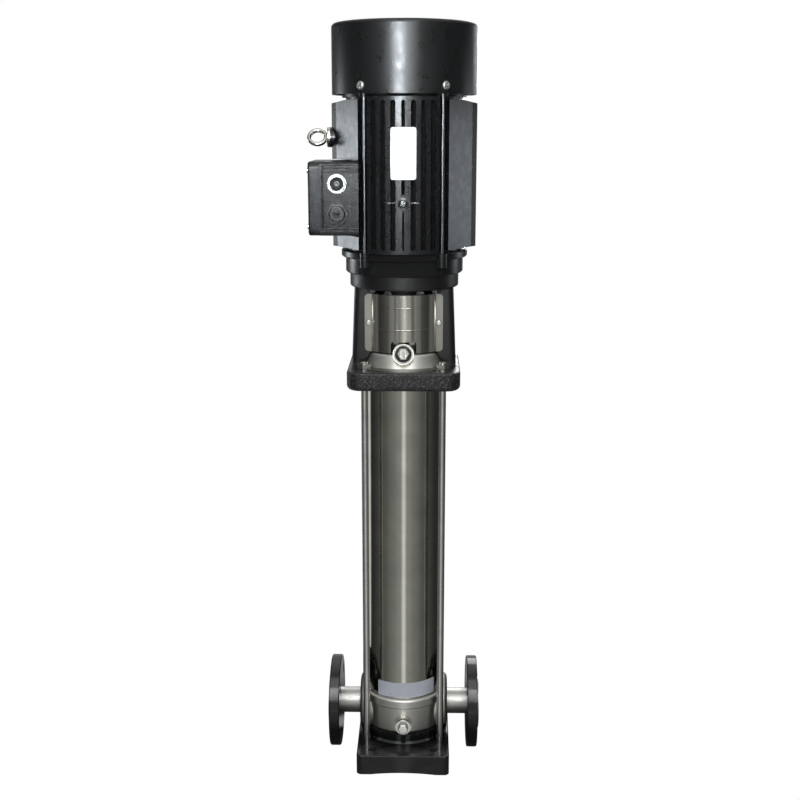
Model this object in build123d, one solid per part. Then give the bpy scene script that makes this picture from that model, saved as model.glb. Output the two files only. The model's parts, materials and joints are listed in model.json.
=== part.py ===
from build123d import *
import math
import os

# Vertical multistage centrifugal pump with a fan-cooled motor, in millimetres.
# The origin is the centre of the base plate's underside, +Z is the shaft axis,
# the ports point along X, and the vent and drain plugs face -Y.

# Base plate
BASE_X = 150.0
BASE_Y = 222.0
BASE_HEIGHT = 33.0
BASE_CORNER = 8.0
BASE_EDGE = 2.0
BASE_SIDE_RIB = 35.0
BASE_TOP_WALL = 10.0
FOOT_LENGTH = 22.0
ARCH_RISE = 3.0
BOLT_SPACING_X = 100.0
BOLT_SPACING_Y = 180.0
BOLT_HOLE_RADIUS = 6.5
PEDESTAL_HEIGHT = 16.0
PEDESTAL_STEP = 1.0
PEDESTAL_FILLET = 3.0

# Sleeve and the casing that carries it
SLEEVE_RADIUS = 63.0
SLEEVE_WALL = 1.5
SLEEVE_LENGTH = 540.0
SLEEVE_SEAT = 10.0
RING_GAP = 0.3
CASING_WALL = 6.0
CASING_FOOT = 5.0
INNER_STEP = 2.5
CUP_GAP = 22.0
CUP_WALL = 5.0
STUB_SEAT = 8.0
CASING_BODY_HEIGHT = 45.0
CASING_FLOOR = 8.0
LIP_HEIGHT = 16.0
LIP_WALL = 8.5
LIP_EDGE = 4.5
LIP_ROLL = 2.2
O_RING_RADIUS = 1.5

# Ports
FACE_TO_FACE = 250.0
PORT_ABOVE_FLOOR = 26.0
PORT_RADIUS = 18.5
STUB_WALL = 2.7
SHOULDER_RADIUS = 47.0
SHOULDER_REACH = 3.5
SHOULDER_EDGE = 8.0
PASSAGE_STEP = 1.0
COLLAR_RADIUS = 43.5
COLLAR_THICKNESS = 8.0
FLANGE_RADIUS = 75.0
FLANGE_THICKNESS = 17.0
FLANGE_SETBACK = 3.0
FLANGE_PCD = 110.0
FLANGE_HOLE_RADIUS = 9.0
FLANGE_HOLES = 4
LOOSE_GAP = 0.3
FLANGE_EDGE = 1.5

# Tie rods
ROD_RADIUS = 5.5
ROD_GAP = 7.85
ROD_EDGE = 1.0
ROD_HOLE_GAP = 0.3
ROD_ENGAGEMENT = 18.0
ROD_PROJECTION = 3.0
NUT_FLATS = 17.0
NUT_HEIGHT = 8.0
WASHER_RADIUS = 10.0
WASHER_THICKNESS = 2.0

# Pump head
HEAD_RIM = 12.0
HEAD_RIM_STEP = 3.5
HEAD_WALL = 8.0
DOME_START = 18.0
DOME_RISE = 25.0
DOME_TOP_RADIUS = 62.6
DOME_WALL = 11.0
DOME_STEP = 2.0
DOME_BAND = 3.0
DOME_EDGE = 10.0
HEAD_NECK_RADIUS = 24.0
VENT_TILT = 20.0
VENT_REACH = 80.0
VENT_RISE = 2.0
VENT_BOSS_RADIUS = 16.0
VENT_HOLE_RADIUS = 5.0
VENT_SCREW_RADIUS = 3.0
VENT_COLLAR_RADIUS = 14.8
VENT_RIM_WALL = 2.2
VENT_RIM = 4.0
VENT_HEX_RADIUS = 9.5
VENT_HEX = 7.0
VENT_CAP_RADIUS = 5.6
VENT_CAP = 4.5
VENT_THREAD = 14.0
VENT_SCREW_SHORT = 2.0
VENT_CAP_EDGE = 1.5
VENT_BOSS_DEPTH = 40.0

# Drain
DRAIN_BELOW_PORT = 7.0
DRAIN_BOSS_RADIUS = 14.0
DRAIN_BOSS_REACH = 8.0
DRAIN_HOLE_RADIUS = 6.0
DRAIN_COLLAR_RADIUS = 12.5
DRAIN_COLLAR = 3.0
DRAIN_HEX_RADIUS = 8.5
DRAIN_HEX = 7.0
DRAIN_WASHER = 2.0
DRAIN_THREAD = 10.0
HEX_EDGE = 1.0

# Motor stool
STOOL_OVERHANG = 27.0
STOOL_CORNER = 22.0
STOOL_FLANGE = 29.0
STOOL_BOTTOM_EDGE = 8.0
STOOL_TOP_EDGE = 3.0
COLUMN_CORNER = 10.0
COLUMN_WINDOW = 41.0
COLUMN_HEIGHT = 124.0
COLUMN_HALF_DEPTH = 40.0
COLUMN_INNER_RADIUS = 62.0
COLUMN_SETBACK = 6.0
COLUMN_TAPER = 5.0
STOOL_TOP_RADIUS = 84.0
STOOL_TOP = 21.5
STOOL_TOP_RIM = 2.5
SPIGOT_RADIUS = 55.0
SPIGOT_HEIGHT = 4.0
MOTOR_BOLT_CIRCLE = 69.3
MOTOR_BOLT_RADIUS = 4.0
MOTOR_BOLT_GAP = 0.5
MOTOR_BOLT_FLATS = 13.0
MOTOR_BOLT_HEAD = 5.5
MOTOR_BOLT_DEPTH = 13.0

# Coupling guards
GUARD_HEIGHT = 89.0
GUARD_BOTTOM_ABOVE_STOOL = 26.0
GUARD_HALF_WIDTH = 60.0
GUARD_FOLD = 48.5
GUARD_BULGE = 21.5
GUARD_SHEET = 1.2
GUARD_NOTCH_HALF = 19.5
GUARD_NOTCH_HEIGHT = 17.5
GUARD_CORNER = 6.0
GUARD_BEAD = 1.2
GUARD_BEAD_HEIGHT = 2.8
GUARD_BEAD_EDGE = 1.1
GUARD_BEAD_HALF = 38.0
GUARD_BEAD_LOW = 34.0
GUARD_BEAD_HIGH = 68.0
GUARD_NOTCH_CORNER = 4.0
GUARD_SCREW_X = 54.0
GUARD_SCREW_RADIUS = 2.0
GUARD_SCREW_HEAD_RADIUS = 4.2
GUARD_SCREW_HEAD = 2.8
GUARD_SCREW_DEPTH = 10.0

# Shafts and coupling
PUMP_SHAFT_RADIUS = 8.0
MOTOR_SHAFT_RADIUS = 14.0
COUPLING_RADIUS = 36.0
COUPLING_LENGTH = 78.0
COUPLING_ABOVE_SEAL = 13.0
COUPLING_SPLIT = 2.0
COUPLING_BOLT_RADIUS = 4.0
COUPLING_BOLT_X = 25.0
COUPLING_BOLT_INSET = 14.0
COUPLING_EDGE = 4.0
COUPLING_POCKET_RADIUS = 8.0
COUPLING_HEAD_RADIUS = 6.5
COUPLING_HEAD = 8.0
COUPLING_BOLT_END = 6.0
SOCKET_RADIUS = 3.0
SOCKET_DEPTH = 4.0
PIN_HALF = 17.0
SHAFT_MEET = 40.0
PIN_RADIUS = 2.5
RUN_GAP = 0.05
TURN_GAP = 1.0

# Hydraulic stages
STAGE_PITCH = 50.0
SUCTION_HEIGHT = 18.0
TOP_CHAMBER_MIN = 60.0
CHAMBER_WALL = 2.0
CHAMBER_ANNULUS = 5.5
IMPELLER_TIP_GAP = 6.0
SHROUD = 1.6
VANE = 1.6
VANE_HEIGHT = 9.0
VANES = 6
VANE_SWEEP = 62.0
EYE_RADIUS = 21.0
NECK_LENGTH = 6.0
SHAFT_START = 6.0
VANE_INSET = 0.5
RETURN_VANE_START = 2.0
RETURN_VANE_BITE = 1.0
VANE_CURVE = 0.4
SUCTION_LIP = 5.0
SUCTION_STEP = 6.0
TOP_CHAMBER_CLEAR = 8.0
WINDOW_HALF = 14.0
WINDOW_EDGE = 12.0
CARRIER_STEP = 10.0
BUSH_WALL = 2.0
BUSH_ABOVE = 2.0
BEARING_RING_HEIGHT = 14.0
SHAFT_NUT_FLATS = 22.0
SHAFT_NUT_HEIGHT = 9.0
HUB_RADIUS = 11.0
RETURN_VANE_HEIGHT = 16.0
RETURN_SWEEP = 40.0
STRAP_WIDTH = 16.0
STRAP_THICKNESS = 2.5

# Mechanical seal
SEAL_PLATE_RADIUS = 36.0
SEAL_PLATE = 8.0
SEAL_SPIGOT = 8.0
SEAT_RADIUS = 17.0
SEAT_HEIGHT = 10.0
SEAL_HEAD_RADIUS = 16.0
SEAL_HEAD_LENGTH = 26.0
SEAL_SCREW_RADIUS = 2.5
SEAL_SCREW_INSET = 6.0
SEAL_SCREW_HEAD_RADIUS = 4.2
SEAL_SCREW_HEAD = 4.0
SEAL_STEP = 2.0
SEAL_COLLAR = 8.0
SEAL_NOSE = 3.0

# Motor
MOTOR_FLANGE = 24.0
MOTOR_RIM = 11.5
MOTOR_RIM_EDGE = 2.0
HOUSING_LENGTH = 225.0
BARREL_RADIUS = 88.0
MOTOR_FLANGE_OUT = 2.5
MOTOR_RIM_OUT = 9.0
SHIELD_OUT = 6.0
COVER_OUT = 21.0
BARREL_WALL = 6.0
FIN_HEIGHT = 16.0
FIN_GROOVE = 7.8
CENTRE_GROOVE = 5.4
LOWER_GROOVE = 2.6
GROOVE_FLOOR = 0.5
FIN_BANK_TRIM = 0.55
FIN_PITCH = 8.2
FIN_GROUP = 8
FIN_END = 5.0
BOSS_BELOW_TOP = 151.0
GROOVE_TO_BOSS = 3.0
BOSS_HALF_WIDTH = 10.5
BOSS_HALF_HEIGHT = 13.0
BOSS_RISE = 1.0
PAD_NEAR_OUT = 13.0
PAD_NEAR_ANGLE = 48.8
PAD_FAR_OUT = 15.6
PAD_FAR_ANGLE = 10.0
PAD_SIDE_OUT = 21.8
PAD_SIDE_ANGLE = 4.2
PAD_ROOT = 3.0
PAD_WALL = 8.0
PAD_END = 4.0
PAD_SLOPE_IN = 22.0
PAD_SLOPE = 4.5
THROUGH_BOLT_OUT = 10.2
THROUGH_BOLT_ANGLE = 54.5
THROUGH_BOLT_RADIUS = 2.5
THROUGH_BOLT_GAP = 0.6
BOLT_HEAD_RADIUS = 5.0
BOLT_HEAD = 4.0
LUG_RADIUS = 7.5
LUG_DROP = 10.0
END_SHIELD = 9.0
SHIELD_ARM = 15.0
SHIELD_ARM_WIDTH = 14.0
SHIELD_ARM_RISE = 6.0
HUB_WALL = 7.0
HUB_LID = 3.0
BEARING_BORE = 15.0
BEARING_RADIUS = 31.0
BEARING_WIDTH = 16.0
BEARING_COVER = 6.0
RACE_WALL = 4.0
RACE_SHIELD_LAP = 2.0
RACE_SHIELD_GAP = 0.5
RACE_SHIELD = 1.0
STATOR_LENGTH = 120.0
STATOR_BELOW = 50.0
STATOR_DEPTH = 29.8
STATOR_YOKE = 8.8
STATOR_SLOT = 4.4
STATOR_SLOTS = 12
AIR_GAP = 0.6
END_RING = 10.0
END_RING_STEP = 6.0
SHAFT_SHOULDER = 3.0
WINDING_LENGTH = 22.0
WINDING_CLEAR = 4.8
WINDING_DEPTH = 19.0
WEDGE_GAP = 0.2

# Fan and its cover
COVER_WALL = 2.0
COVER_LENGTH = 102.0
COVER_LAP = 5.0
COVER_EDGE = 6.0
COVER_SCREW_ANGLE = 34.0
COVER_SCREW_RISE = 11.0
COVER_SCREW_RADIUS = 2.5
COVER_SCREW_DEPTH = 11.0
COVER_HEAD_RADIUS = 4.6
COVER_HEAD = 2.6
GRILLE_ROWS = 5
GRILLE_INNER = 24.0
GRILLE_RIM = 13.0
GRILLE_DEPTH = 6.0
GRILLE_BAR = 5.0
GRILLE_SPOKES = 6
FAN_GAP = 21.0
FAN_BLADE = 3.0
FAN_BLADES = 7
FAN_HEIGHT = 32.0
FAN_ABOVE_SHIELD = 14.0
FAN_PLATE = 3.0
FAN_HUB_RADIUS = 20.0
FAN_SHAFT_RADIUS = 12.5

# Terminal box
BOX_OUT = 35.5
BOX_IN = 22.0
BOX_FRONT_Y = 80.0
BOX_BACK_Y = 36.0
BOX_BOTTOM = 25.0
BOX_HEIGHT = 108.0
BOX_WALL = 4.0
BOX_CORNER = 6.0
BOX_GAP = 2.0
LID_THICKNESS = 16.0
LID_CORNER = 9.0
LID_EDGE = 3.0
LID_SCREW_RADIUS = 4.0
LID_SCREW_INSET = 13.0
LID_SCREW_RISE = 2.0
GASKET = 1.0
BOX_RIDGE = 2.0
BLOCK_DEPTH = 12.0
BLOCK_WIDTH = 38.0
BLOCK_HEIGHT = 60.0
BLOCK_SHIFT = 21.0
STUD_RADIUS = 2.5
STUD_LENGTH = 8.0
STUD_PITCH = 20.0
RIDGE_SIZE = 3.0
RIDGE_EDGE = 1.2
RIDGE_PITCH = 4.8
RIDGE_TOP = 4.5
RIDGE_BOTTOM = 11.0
GLAND_OUT = 9.0
GLAND_BOSS_RADIUS = 19.0
GLAND_BOSS = 1.2
GLAND_THREAD_RADIUS = 8.0
UPPER_GLAND_DROP = 31.5
LOWER_GLAND_DROP = 75.0
UPPER_GLAND_RADIUS = 14.0
LOWER_GLAND_RADIUS = 16.0
UPPER_GLAND_LENGTH = 12.0
LOWER_GLAND_LENGTH = 16.0
CABLE_RADIUS = 5.0

# Lifting eye
EYE_ABOVE_BOX = 34.0
EYE_RING_RADIUS = 12.8
EYE_WIRE_RADIUS = 3.4
EYE_COLLAR_RADIUS = 15.0
EYE_COLLAR = 5.0
EYE_BOSS_OUT = 24.0
EYE_SHANK_RADIUS = 4.0
EYE_SHANK = 14.0
EYE_TURN = 38.0
EYE_SINK = 1.5

# Levels along the shaft axis, from the floor up
Z_PEDESTAL = BASE_HEIGHT
Z_CASING = Z_PEDESTAL + PEDESTAL_HEIGHT
Z_PORT = Z_CASING + PORT_ABOVE_FLOOR
Z_LIP = Z_CASING + CASING_BODY_HEIGHT
Z_CASING_TOP = Z_LIP + LIP_HEIGHT
Z_SLEEVE = Z_CASING_TOP - SLEEVE_SEAT
Z_SLEEVE_TOP = Z_SLEEVE + SLEEVE_LENGTH
Z_HEAD = Z_SLEEVE_TOP - SLEEVE_SEAT
Z_STOOL = Z_HEAD
Z_STOOL_DECK = Z_STOOL + STOOL_FLANGE
Z_DOME = Z_HEAD + HEAD_RIM + DOME_START
Z_HEAD_TOP = Z_DOME + DOME_RISE
Z_COUPLING = Z_HEAD_TOP + SEAL_PLATE + COUPLING_ABOVE_SEAL
Z_SHAFT_MEET = Z_COUPLING + SHAFT_MEET
Z_STOOL_TOP = Z_STOOL_DECK + COLUMN_HEIGHT
Z_MOTOR = Z_STOOL_TOP + STOOL_TOP
Z_HOUSING = Z_MOTOR + MOTOR_FLANGE + MOTOR_RIM
Z_SHIELD = Z_HOUSING + HOUSING_LENGTH
Z_COVER = Z_SHIELD + END_SHIELD - COVER_LAP
Z_COVER_TOP = Z_COVER + COVER_LENGTH
Z_BOX = Z_HOUSING + BOX_BOTTOM
Z_LIFT = Z_BOX + BOX_HEIGHT + EYE_ABOVE_BOX

# Radii worked out from the sleeve and the casing
CASING_RADIUS = SLEEVE_RADIUS + CASING_WALL
LIP_RADIUS = SLEEVE_RADIUS + LIP_WALL
CAVITY_RADIUS = SLEEVE_RADIUS - SLEEVE_WALL - INNER_STEP
PEDESTAL_RADIUS = CASING_RADIUS + PEDESTAL_STEP
SHOULDER_X = CASING_RADIUS + SHOULDER_REACH
ROD_OFFSET = (LIP_RADIUS + ROD_GAP + ROD_RADIUS) / math.sqrt(2)
DOME_RADIUS = SLEEVE_RADIUS + DOME_WALL
RIM_RADIUS = DOME_RADIUS + HEAD_RIM_STEP
STOOL_HALF = ROD_OFFSET + STOOL_OVERHANG
CHAMBER_RADIUS = SLEEVE_RADIUS - SLEEVE_WALL - CHAMBER_ANNULUS
IMPELLER_RADIUS = CHAMBER_RADIUS - CHAMBER_WALL - IMPELLER_TIP_GAP
STUB_RADIUS = PORT_RADIUS + STUB_WALL
CUP_RADIUS = CHAMBER_RADIUS - CUP_GAP
STAGE_SPACE = SLEEVE_LENGTH - SUCTION_HEIGHT - TOP_CHAMBER_MIN
STAGES = int(STAGE_SPACE // STAGE_PITCH)
Z_STAGES = Z_SLEEVE + SUCTION_HEIGHT
Z_STAGES_TOP = Z_STAGES + STAGES * STAGE_PITCH
Z_CHAMBER_TOP = Z_SLEEVE_TOP - 2 * O_RING_RADIUS - TOP_CHAMBER_CLEAR
BUSH_RADIUS = PUMP_SHAFT_RADIUS + BUSH_WALL
CARRIER_RADIUS = PUMP_SHAFT_RADIUS + CARRIER_STEP

# Radii and stations worked out from the motor's barrel
MOTOR_FLANGE_RADIUS = BARREL_RADIUS + MOTOR_FLANGE_OUT
MOTOR_RIM_RADIUS = BARREL_RADIUS + MOTOR_RIM_OUT
FIN_TIP_RADIUS = BARREL_RADIUS + FIN_HEIGHT
END_SHIELD_RADIUS = BARREL_RADIUS + SHIELD_OUT
COVER_RADIUS = BARREL_RADIUS + COVER_OUT
GRILLE_OUTER = COVER_RADIUS - GRILLE_RIM
FAN_RADIUS = COVER_RADIUS - FAN_GAP
STATOR_RADIUS = BARREL_RADIUS - BARREL_WALL - WEDGE_GAP
STATOR_BORE = STATOR_RADIUS - STATOR_DEPTH
WINDING_OUTER = STATOR_RADIUS - WINDING_CLEAR
WINDING_INNER = WINDING_OUTER - WINDING_DEPTH
BOX_OUTER_X = BARREL_RADIUS + BOX_OUT
BOX_INNER_X = BARREL_RADIUS - BOX_IN
GLAND_X = BARREL_RADIUS + GLAND_OUT
EYE_BOSS_X = BARREL_RADIUS + EYE_BOSS_OUT

# How far a cutting shape runs past the face that it cuts, and how near counts as equal
PAST = 1.0
TINY = 0.01

UP = (Align.CENTER, Align.CENTER, Align.MIN)


def rod(radius, bottom, top, x=0.0, y=0.0):
    """An upright cylinder between two levels."""
    return Pos(x, y, bottom) * Cylinder(radius, top - bottom, align=UP)


def ring(outer, inner, bottom, top):
    """An upright tube between two levels."""
    return rod(outer, bottom, top) - rod(inner, bottom - PAST, top + PAST)


def block(x0, x1, y0, y1, bottom, top):
    """A box given by its limits."""
    size = Box(x1 - x0, y1 - y0, top - bottom, align=(Align.MIN, Align.MIN, Align.MIN))
    return Pos(x0, y0, bottom) * size


def turned(*outline):
    """A solid turned about the shaft axis from a closed (radius, level) outline."""
    return revolve(Plane.XZ * make_face(Polyline(*outline, close=True)), Axis.Z)


def along_x(radius, x0, x1, y, z):
    """A cylinder along X between two stations."""
    return Pos(x0, y, z) * Rot(0, 90, 0) * Cylinder(radius, x1 - x0, align=UP)


def along_y(radius, y0, y1, x, z):
    """A cylinder along Y between two stations."""
    return Pos(x, y0, z) * Rot(-90, 0, 0) * Cylinder(radius, y1 - y0, align=UP)


def circles_at(shape, radius, level):
    """The circular edges of one radius at one level."""
    found = shape.edges().filter_by(GeomType.CIRCLE)
    return [e for e in found if abs(e.radius - radius) < TINY and abs(e.center().Z - level) < TINY]


def corners(x, y):
    """The four points of a rectangle centred on the shaft axis."""
    return [(sx * x, sy * y) for sx in (-1, 1) for sy in (-1, 1)]


def polar(radius, angle):
    """A point at a radius and an angle in degrees from +X."""
    turn = math.radians(angle)
    return (radius * math.cos(turn), radius * math.sin(turn))


def hexagon(flats, bottom, top, x=0.0, y=0.0):
    """An upright hexagonal prism with one flat facing the shaft axis."""
    facing = math.degrees(math.atan2(y, x)) + 30
    shape = RegularPolygon(flats / math.sqrt(3), 6)
    return Pos(x, y, bottom) * Rot(0, 0, facing) * extrude(shape, top - bottom)


def save(node, *solids):
    """Write one node, as one solid or as a group of separate solids."""
    shape = solids[0] if len(solids) == 1 else Compound(children=list(solids))
    export_step(shape, f"parts/{node}.step")


def base_plate():
    """Cast plate on four corner feet, with a round pedestal for the casing."""
    plate = block(-BASE_X / 2, BASE_X / 2, -BASE_Y / 2, BASE_Y / 2, 0, BASE_HEIGHT)
    plate = fillet(plate.edges().filter_by(Axis.Z), BASE_CORNER)
    plate = fillet(plate.faces().sort_by(Axis.Z)[-1].edges(), BASE_EDGE)
    foot = PEDESTAL_RADIUS + PEDESTAL_FILLET
    plate += turned(
        (0, BASE_HEIGHT - PAST), (foot, BASE_HEIGHT - PAST), (foot, BASE_HEIGHT),
        (PEDESTAL_RADIUS, BASE_HEIGHT + PEDESTAL_FILLET), (PEDESTAL_RADIUS, Z_CASING), (0, Z_CASING))
    half_x = BASE_X / 2 - BASE_SIDE_RIB
    half_y = BASE_Y / 2 - BASE_SIDE_RIB
    plate -= block(-half_x, half_x, -half_y, half_y, -PAST, BASE_HEIGHT - BASE_TOP_WALL)
    span_x = BASE_X / 2 - FOOT_LENGTH
    span_y = BASE_Y / 2 - FOOT_LENGTH
    arch_x = (span_x ** 2 + ARCH_RISE ** 2) / (2 * ARCH_RISE)
    arch_y = (span_y ** 2 + ARCH_RISE ** 2) / (2 * ARCH_RISE)
    plate -= along_y(arch_x, -BASE_Y, BASE_Y, 0, ARCH_RISE - arch_x)
    plate -= along_x(arch_y, -BASE_X, BASE_X, 0, ARCH_RISE - arch_y)
    for x, y in corners(BOLT_SPACING_X / 2, BOLT_SPACING_Y / 2):
        plate -= rod(BOLT_HOLE_RADIUS, -PAST, BASE_HEIGHT + PAST, x, y)
    for x, y in corners(ROD_OFFSET, ROD_OFFSET):
        hole = ROD_RADIUS + ROD_HOLE_GAP
        plate -= rod(hole, BASE_HEIGHT - ROD_ENGAGEMENT, BASE_HEIGHT + PAST, x, y)
    return plate


def base_casing():
    """Cast bowl with a lip for the sleeve, port shoulders and a suction cup."""
    body = turned(
        (0, Z_CASING), (CASING_RADIUS - CASING_FOOT, Z_CASING),
        (CASING_RADIUS, Z_CASING + CASING_FOOT), (CASING_RADIUS, Z_LIP), (LIP_RADIUS, Z_LIP),
        (LIP_RADIUS, Z_CASING_TOP), (0, Z_CASING_TOP))
    body = fillet(circles_at(body, LIP_RADIUS, Z_CASING_TOP), LIP_EDGE)
    body = fillet(circles_at(body, LIP_RADIUS, Z_LIP), LIP_ROLL)
    shoulder = along_x(SHOULDER_RADIUS, -SHOULDER_X, SHOULDER_X, 0, Z_PORT)
    shoulder = fillet(shoulder.edges(), SHOULDER_EDGE)
    low = Z_PORT - STUB_RADIUS
    high = Z_PORT + SHOULDER_RADIUS + PAST
    shoulder &= block(-SHOULDER_X, SHOULDER_X, -LIP_RADIUS, LIP_RADIUS, low, high)
    body += shoulder
    drain = Z_PORT - DRAIN_BELOW_PORT
    body += along_y(DRAIN_BOSS_RADIUS, -CASING_RADIUS - DRAIN_BOSS_REACH, 0, 0, drain)
    body -= rod(SLEEVE_RADIUS + RING_GAP, Z_SLEEVE, high)
    body -= rod(CAVITY_RADIUS, Z_CASING + CASING_FLOOR, Z_SLEEVE + PAST)
    body += rod(CUP_RADIUS, Z_CASING + PAST, Z_SLEEVE)
    tube = STUB_RADIUS + STUB_WALL
    body += along_x(tube, -CAVITY_RADIUS - PAST, -CUP_RADIUS + CUP_WALL + PAST, 0, Z_PORT)
    body -= rod(CUP_RADIUS - CUP_WALL, Z_CASING + CASING_FLOOR, Z_SLEEVE + PAST)
    seat = CASING_RADIUS - STUB_SEAT
    passage = PORT_RADIUS + PASSAGE_STEP
    body -= along_x(STUB_RADIUS + RUN_GAP, -SHOULDER_X - PAST, -seat, 0, Z_PORT)
    body -= along_x(passage, -CASING_RADIUS, 0, 0, Z_PORT)
    body -= along_x(STUB_RADIUS + RUN_GAP, seat, SHOULDER_X + PAST, 0, Z_PORT)
    body -= along_x(passage, CUP_RADIUS + CUP_WALL, CASING_RADIUS, 0, Z_PORT)
    body -= along_y(DRAIN_HOLE_RADIUS, -CASING_RADIUS - DRAIN_BOSS_REACH - PAST,
                    -CUP_RADIUS - CUP_WALL, 0, drain)
    return body


def port_stub(side):
    """Pipe stub welded into the casing, with the collar that holds a loose flange."""
    face = FACE_TO_FACE / 2
    stub = along_x(STUB_RADIUS, CASING_RADIUS - STUB_SEAT, face, 0, Z_PORT)
    stub += along_x(COLLAR_RADIUS, face - COLLAR_THICKNESS, face, 0, Z_PORT)
    stub -= along_x(PORT_RADIUS, 0, face + PAST, 0, Z_PORT)
    return stub if side > 0 else stub.rotate(Axis.Z, 180)


def loose_flange(side):
    """Bolt flange that turns freely behind the stub's collar."""
    outer = FACE_TO_FACE / 2 - FLANGE_SETBACK
    inner = outer - FLANGE_THICKNESS
    seat = FACE_TO_FACE / 2 - COLLAR_THICKNESS - LOOSE_GAP
    flange = along_x(FLANGE_RADIUS, inner, outer, 0, Z_PORT)
    flange = chamfer(flange.edges(), FLANGE_EDGE)
    flange -= along_x(STUB_RADIUS + LOOSE_GAP, inner - PAST, outer + PAST, 0, Z_PORT)
    flange -= along_x(COLLAR_RADIUS + LOOSE_GAP, seat, outer + PAST, 0, Z_PORT)
    for step in range(FLANGE_HOLES):
        y, z = polar(FLANGE_PCD / 2, 45 + 360 * step / FLANGE_HOLES)
        flange -= along_x(FLANGE_HOLE_RADIUS, inner - PAST, outer + PAST, y, Z_PORT + z)
    return flange if side > 0 else flange.rotate(Axis.Z, 180)


def drain_plug():
    """Hexagon plug with a collar, screwed into the casing from the front."""
    face = -CASING_RADIUS - DRAIN_BOSS_REACH
    seat = face - DRAIN_WASHER
    z = Z_PORT - DRAIN_BELOW_PORT
    plug = along_y(DRAIN_HOLE_RADIUS - RUN_GAP, seat, face + DRAIN_THREAD, 0, z)
    plug += along_y(DRAIN_COLLAR_RADIUS, seat - DRAIN_COLLAR, seat, 0, z)
    head = extrude(RegularPolygon(DRAIN_HEX_RADIUS, 6), DRAIN_HEX)
    head = chamfer(head.faces().sort_by(Axis.Z)[-1].edges(), HEX_EDGE)
    return plug + Pos(0, seat - DRAIN_COLLAR, z) * Rot(90, 0, 0) * head


def drain_washer():
    """Flat seal between the drain plug and its boss."""
    face = -CASING_RADIUS - DRAIN_BOSS_REACH
    z = Z_PORT - DRAIN_BELOW_PORT
    washer = along_y(DRAIN_COLLAR_RADIUS, face - DRAIN_WASHER, face, 0, z)
    hole = along_y(DRAIN_HOLE_RADIUS + RUN_GAP, face - DRAIN_WASHER - PAST, face + PAST, 0, z)
    return washer - hole


def outer_sleeve():
    """Thin polished tube between the casing and the pump head."""
    return ring(SLEEVE_RADIUS, SLEEVE_RADIUS - SLEEVE_WALL, Z_SLEEVE, Z_SLEEVE_TOP)


def sleeve_seals():
    """A flat seal ring under each end of the sleeve's grip."""
    edge = SLEEVE_RADIUS - SLEEVE_WALL - WEDGE_GAP
    height = 2 * O_RING_RADIUS
    lower = ring(edge, CAVITY_RADIUS, Z_SLEEVE, Z_SLEEVE + height)
    upper = ring(edge, CAVITY_RADIUS, Z_SLEEVE_TOP - height, Z_SLEEVE_TOP)
    return [lower, upper]


def tie_rods():
    """Four rods that clamp the stool, head and sleeve down on the base."""
    top = Z_STOOL_DECK + WASHER_THICKNESS + NUT_HEIGHT + ROD_PROJECTION
    rods = []
    for x, y in corners(ROD_OFFSET, ROD_OFFSET):
        bar = rod(ROD_RADIUS, BASE_HEIGHT - ROD_ENGAGEMENT, top, x, y)
        rods.append(chamfer(bar.faces().sort_by(Axis.Z)[-1].edges(), ROD_EDGE))
    return rods


def tie_rod_washers():
    """A washer under each tie rod nut."""
    deck = Z_STOOL_DECK
    washers = []
    for x, y in corners(ROD_OFFSET, ROD_OFFSET):
        washer = rod(WASHER_RADIUS, deck, deck + WASHER_THICKNESS, x, y)
        hole = rod(ROD_RADIUS + RUN_GAP, deck - PAST, deck + WASHER_THICKNESS + PAST, x, y)
        washers.append(washer - hole)
    return washers


def tie_rod_nuts():
    """A hexagon nut on each tie rod."""
    bottom = Z_STOOL_DECK + WASHER_THICKNESS
    top = bottom + NUT_HEIGHT
    nuts = []
    for x, y in corners(ROD_OFFSET, ROD_OFFSET):
        nut = hexagon(NUT_FLATS, bottom, top, x, y)
        nuts.append(nut - rod(ROD_RADIUS + RUN_GAP, bottom - PAST, top + PAST, x, y))
    return nuts


def vent_frame():
    """The plane of the vent boss's outer face, tilted up from the front."""
    lean = math.radians(VENT_TILT)
    return Plane(origin=(0, -VENT_REACH, Z_HEAD_TOP + VENT_RISE), x_dir=(1, 0, 0),
                 z_dir=(0, -math.cos(lean), math.sin(lean)))


def vent_cylinder(radius, start, end):
    """A cylinder on the vent axis, measured outwards from the boss's face."""
    return vent_frame() * Pos(0, 0, start) * Cylinder(radius, end - start, align=UP)


def pump_head():
    """Domed head with a rim for the stool, a seal bore and a vent boss."""
    rim_top = Z_HEAD + HEAD_RIM
    band = Z_DOME + DOME_BAND
    head = turned(
        (0, Z_HEAD), (RIM_RADIUS, Z_HEAD), (RIM_RADIUS, rim_top), (DOME_RADIUS, rim_top),
        (DOME_RADIUS, band), (DOME_RADIUS - DOME_STEP, band), (DOME_TOP_RADIUS, Z_HEAD_TOP),
        (0, Z_HEAD_TOP))
    shoulder = head.edges().filter_by(GeomType.CIRCLE).sort_by(Axis.Z)[-1]
    head = fillet(shoulder, DOME_EDGE)
    head += vent_cylinder(VENT_BOSS_RADIUS, -VENT_BOSS_DEPTH, 0)
    inner_top = DOME_TOP_RADIUS - HEAD_WALL - DOME_EDGE / 2
    ceiling = Z_HEAD_TOP - HEAD_WALL
    head -= rod(SLEEVE_RADIUS + RING_GAP, Z_HEAD - PAST, Z_SLEEVE_TOP)
    head -= turned(
        (0, Z_HEAD), (CAVITY_RADIUS, Z_HEAD), (CAVITY_RADIUS, Z_DOME), (inner_top, ceiling),
        (0, ceiling))
    head -= rod(HEAD_NECK_RADIUS, Z_HEAD, Z_HEAD_TOP + PAST)
    head -= vent_cylinder(VENT_HOLE_RADIUS, -VENT_BOSS_DEPTH, PAST)
    return head


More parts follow.
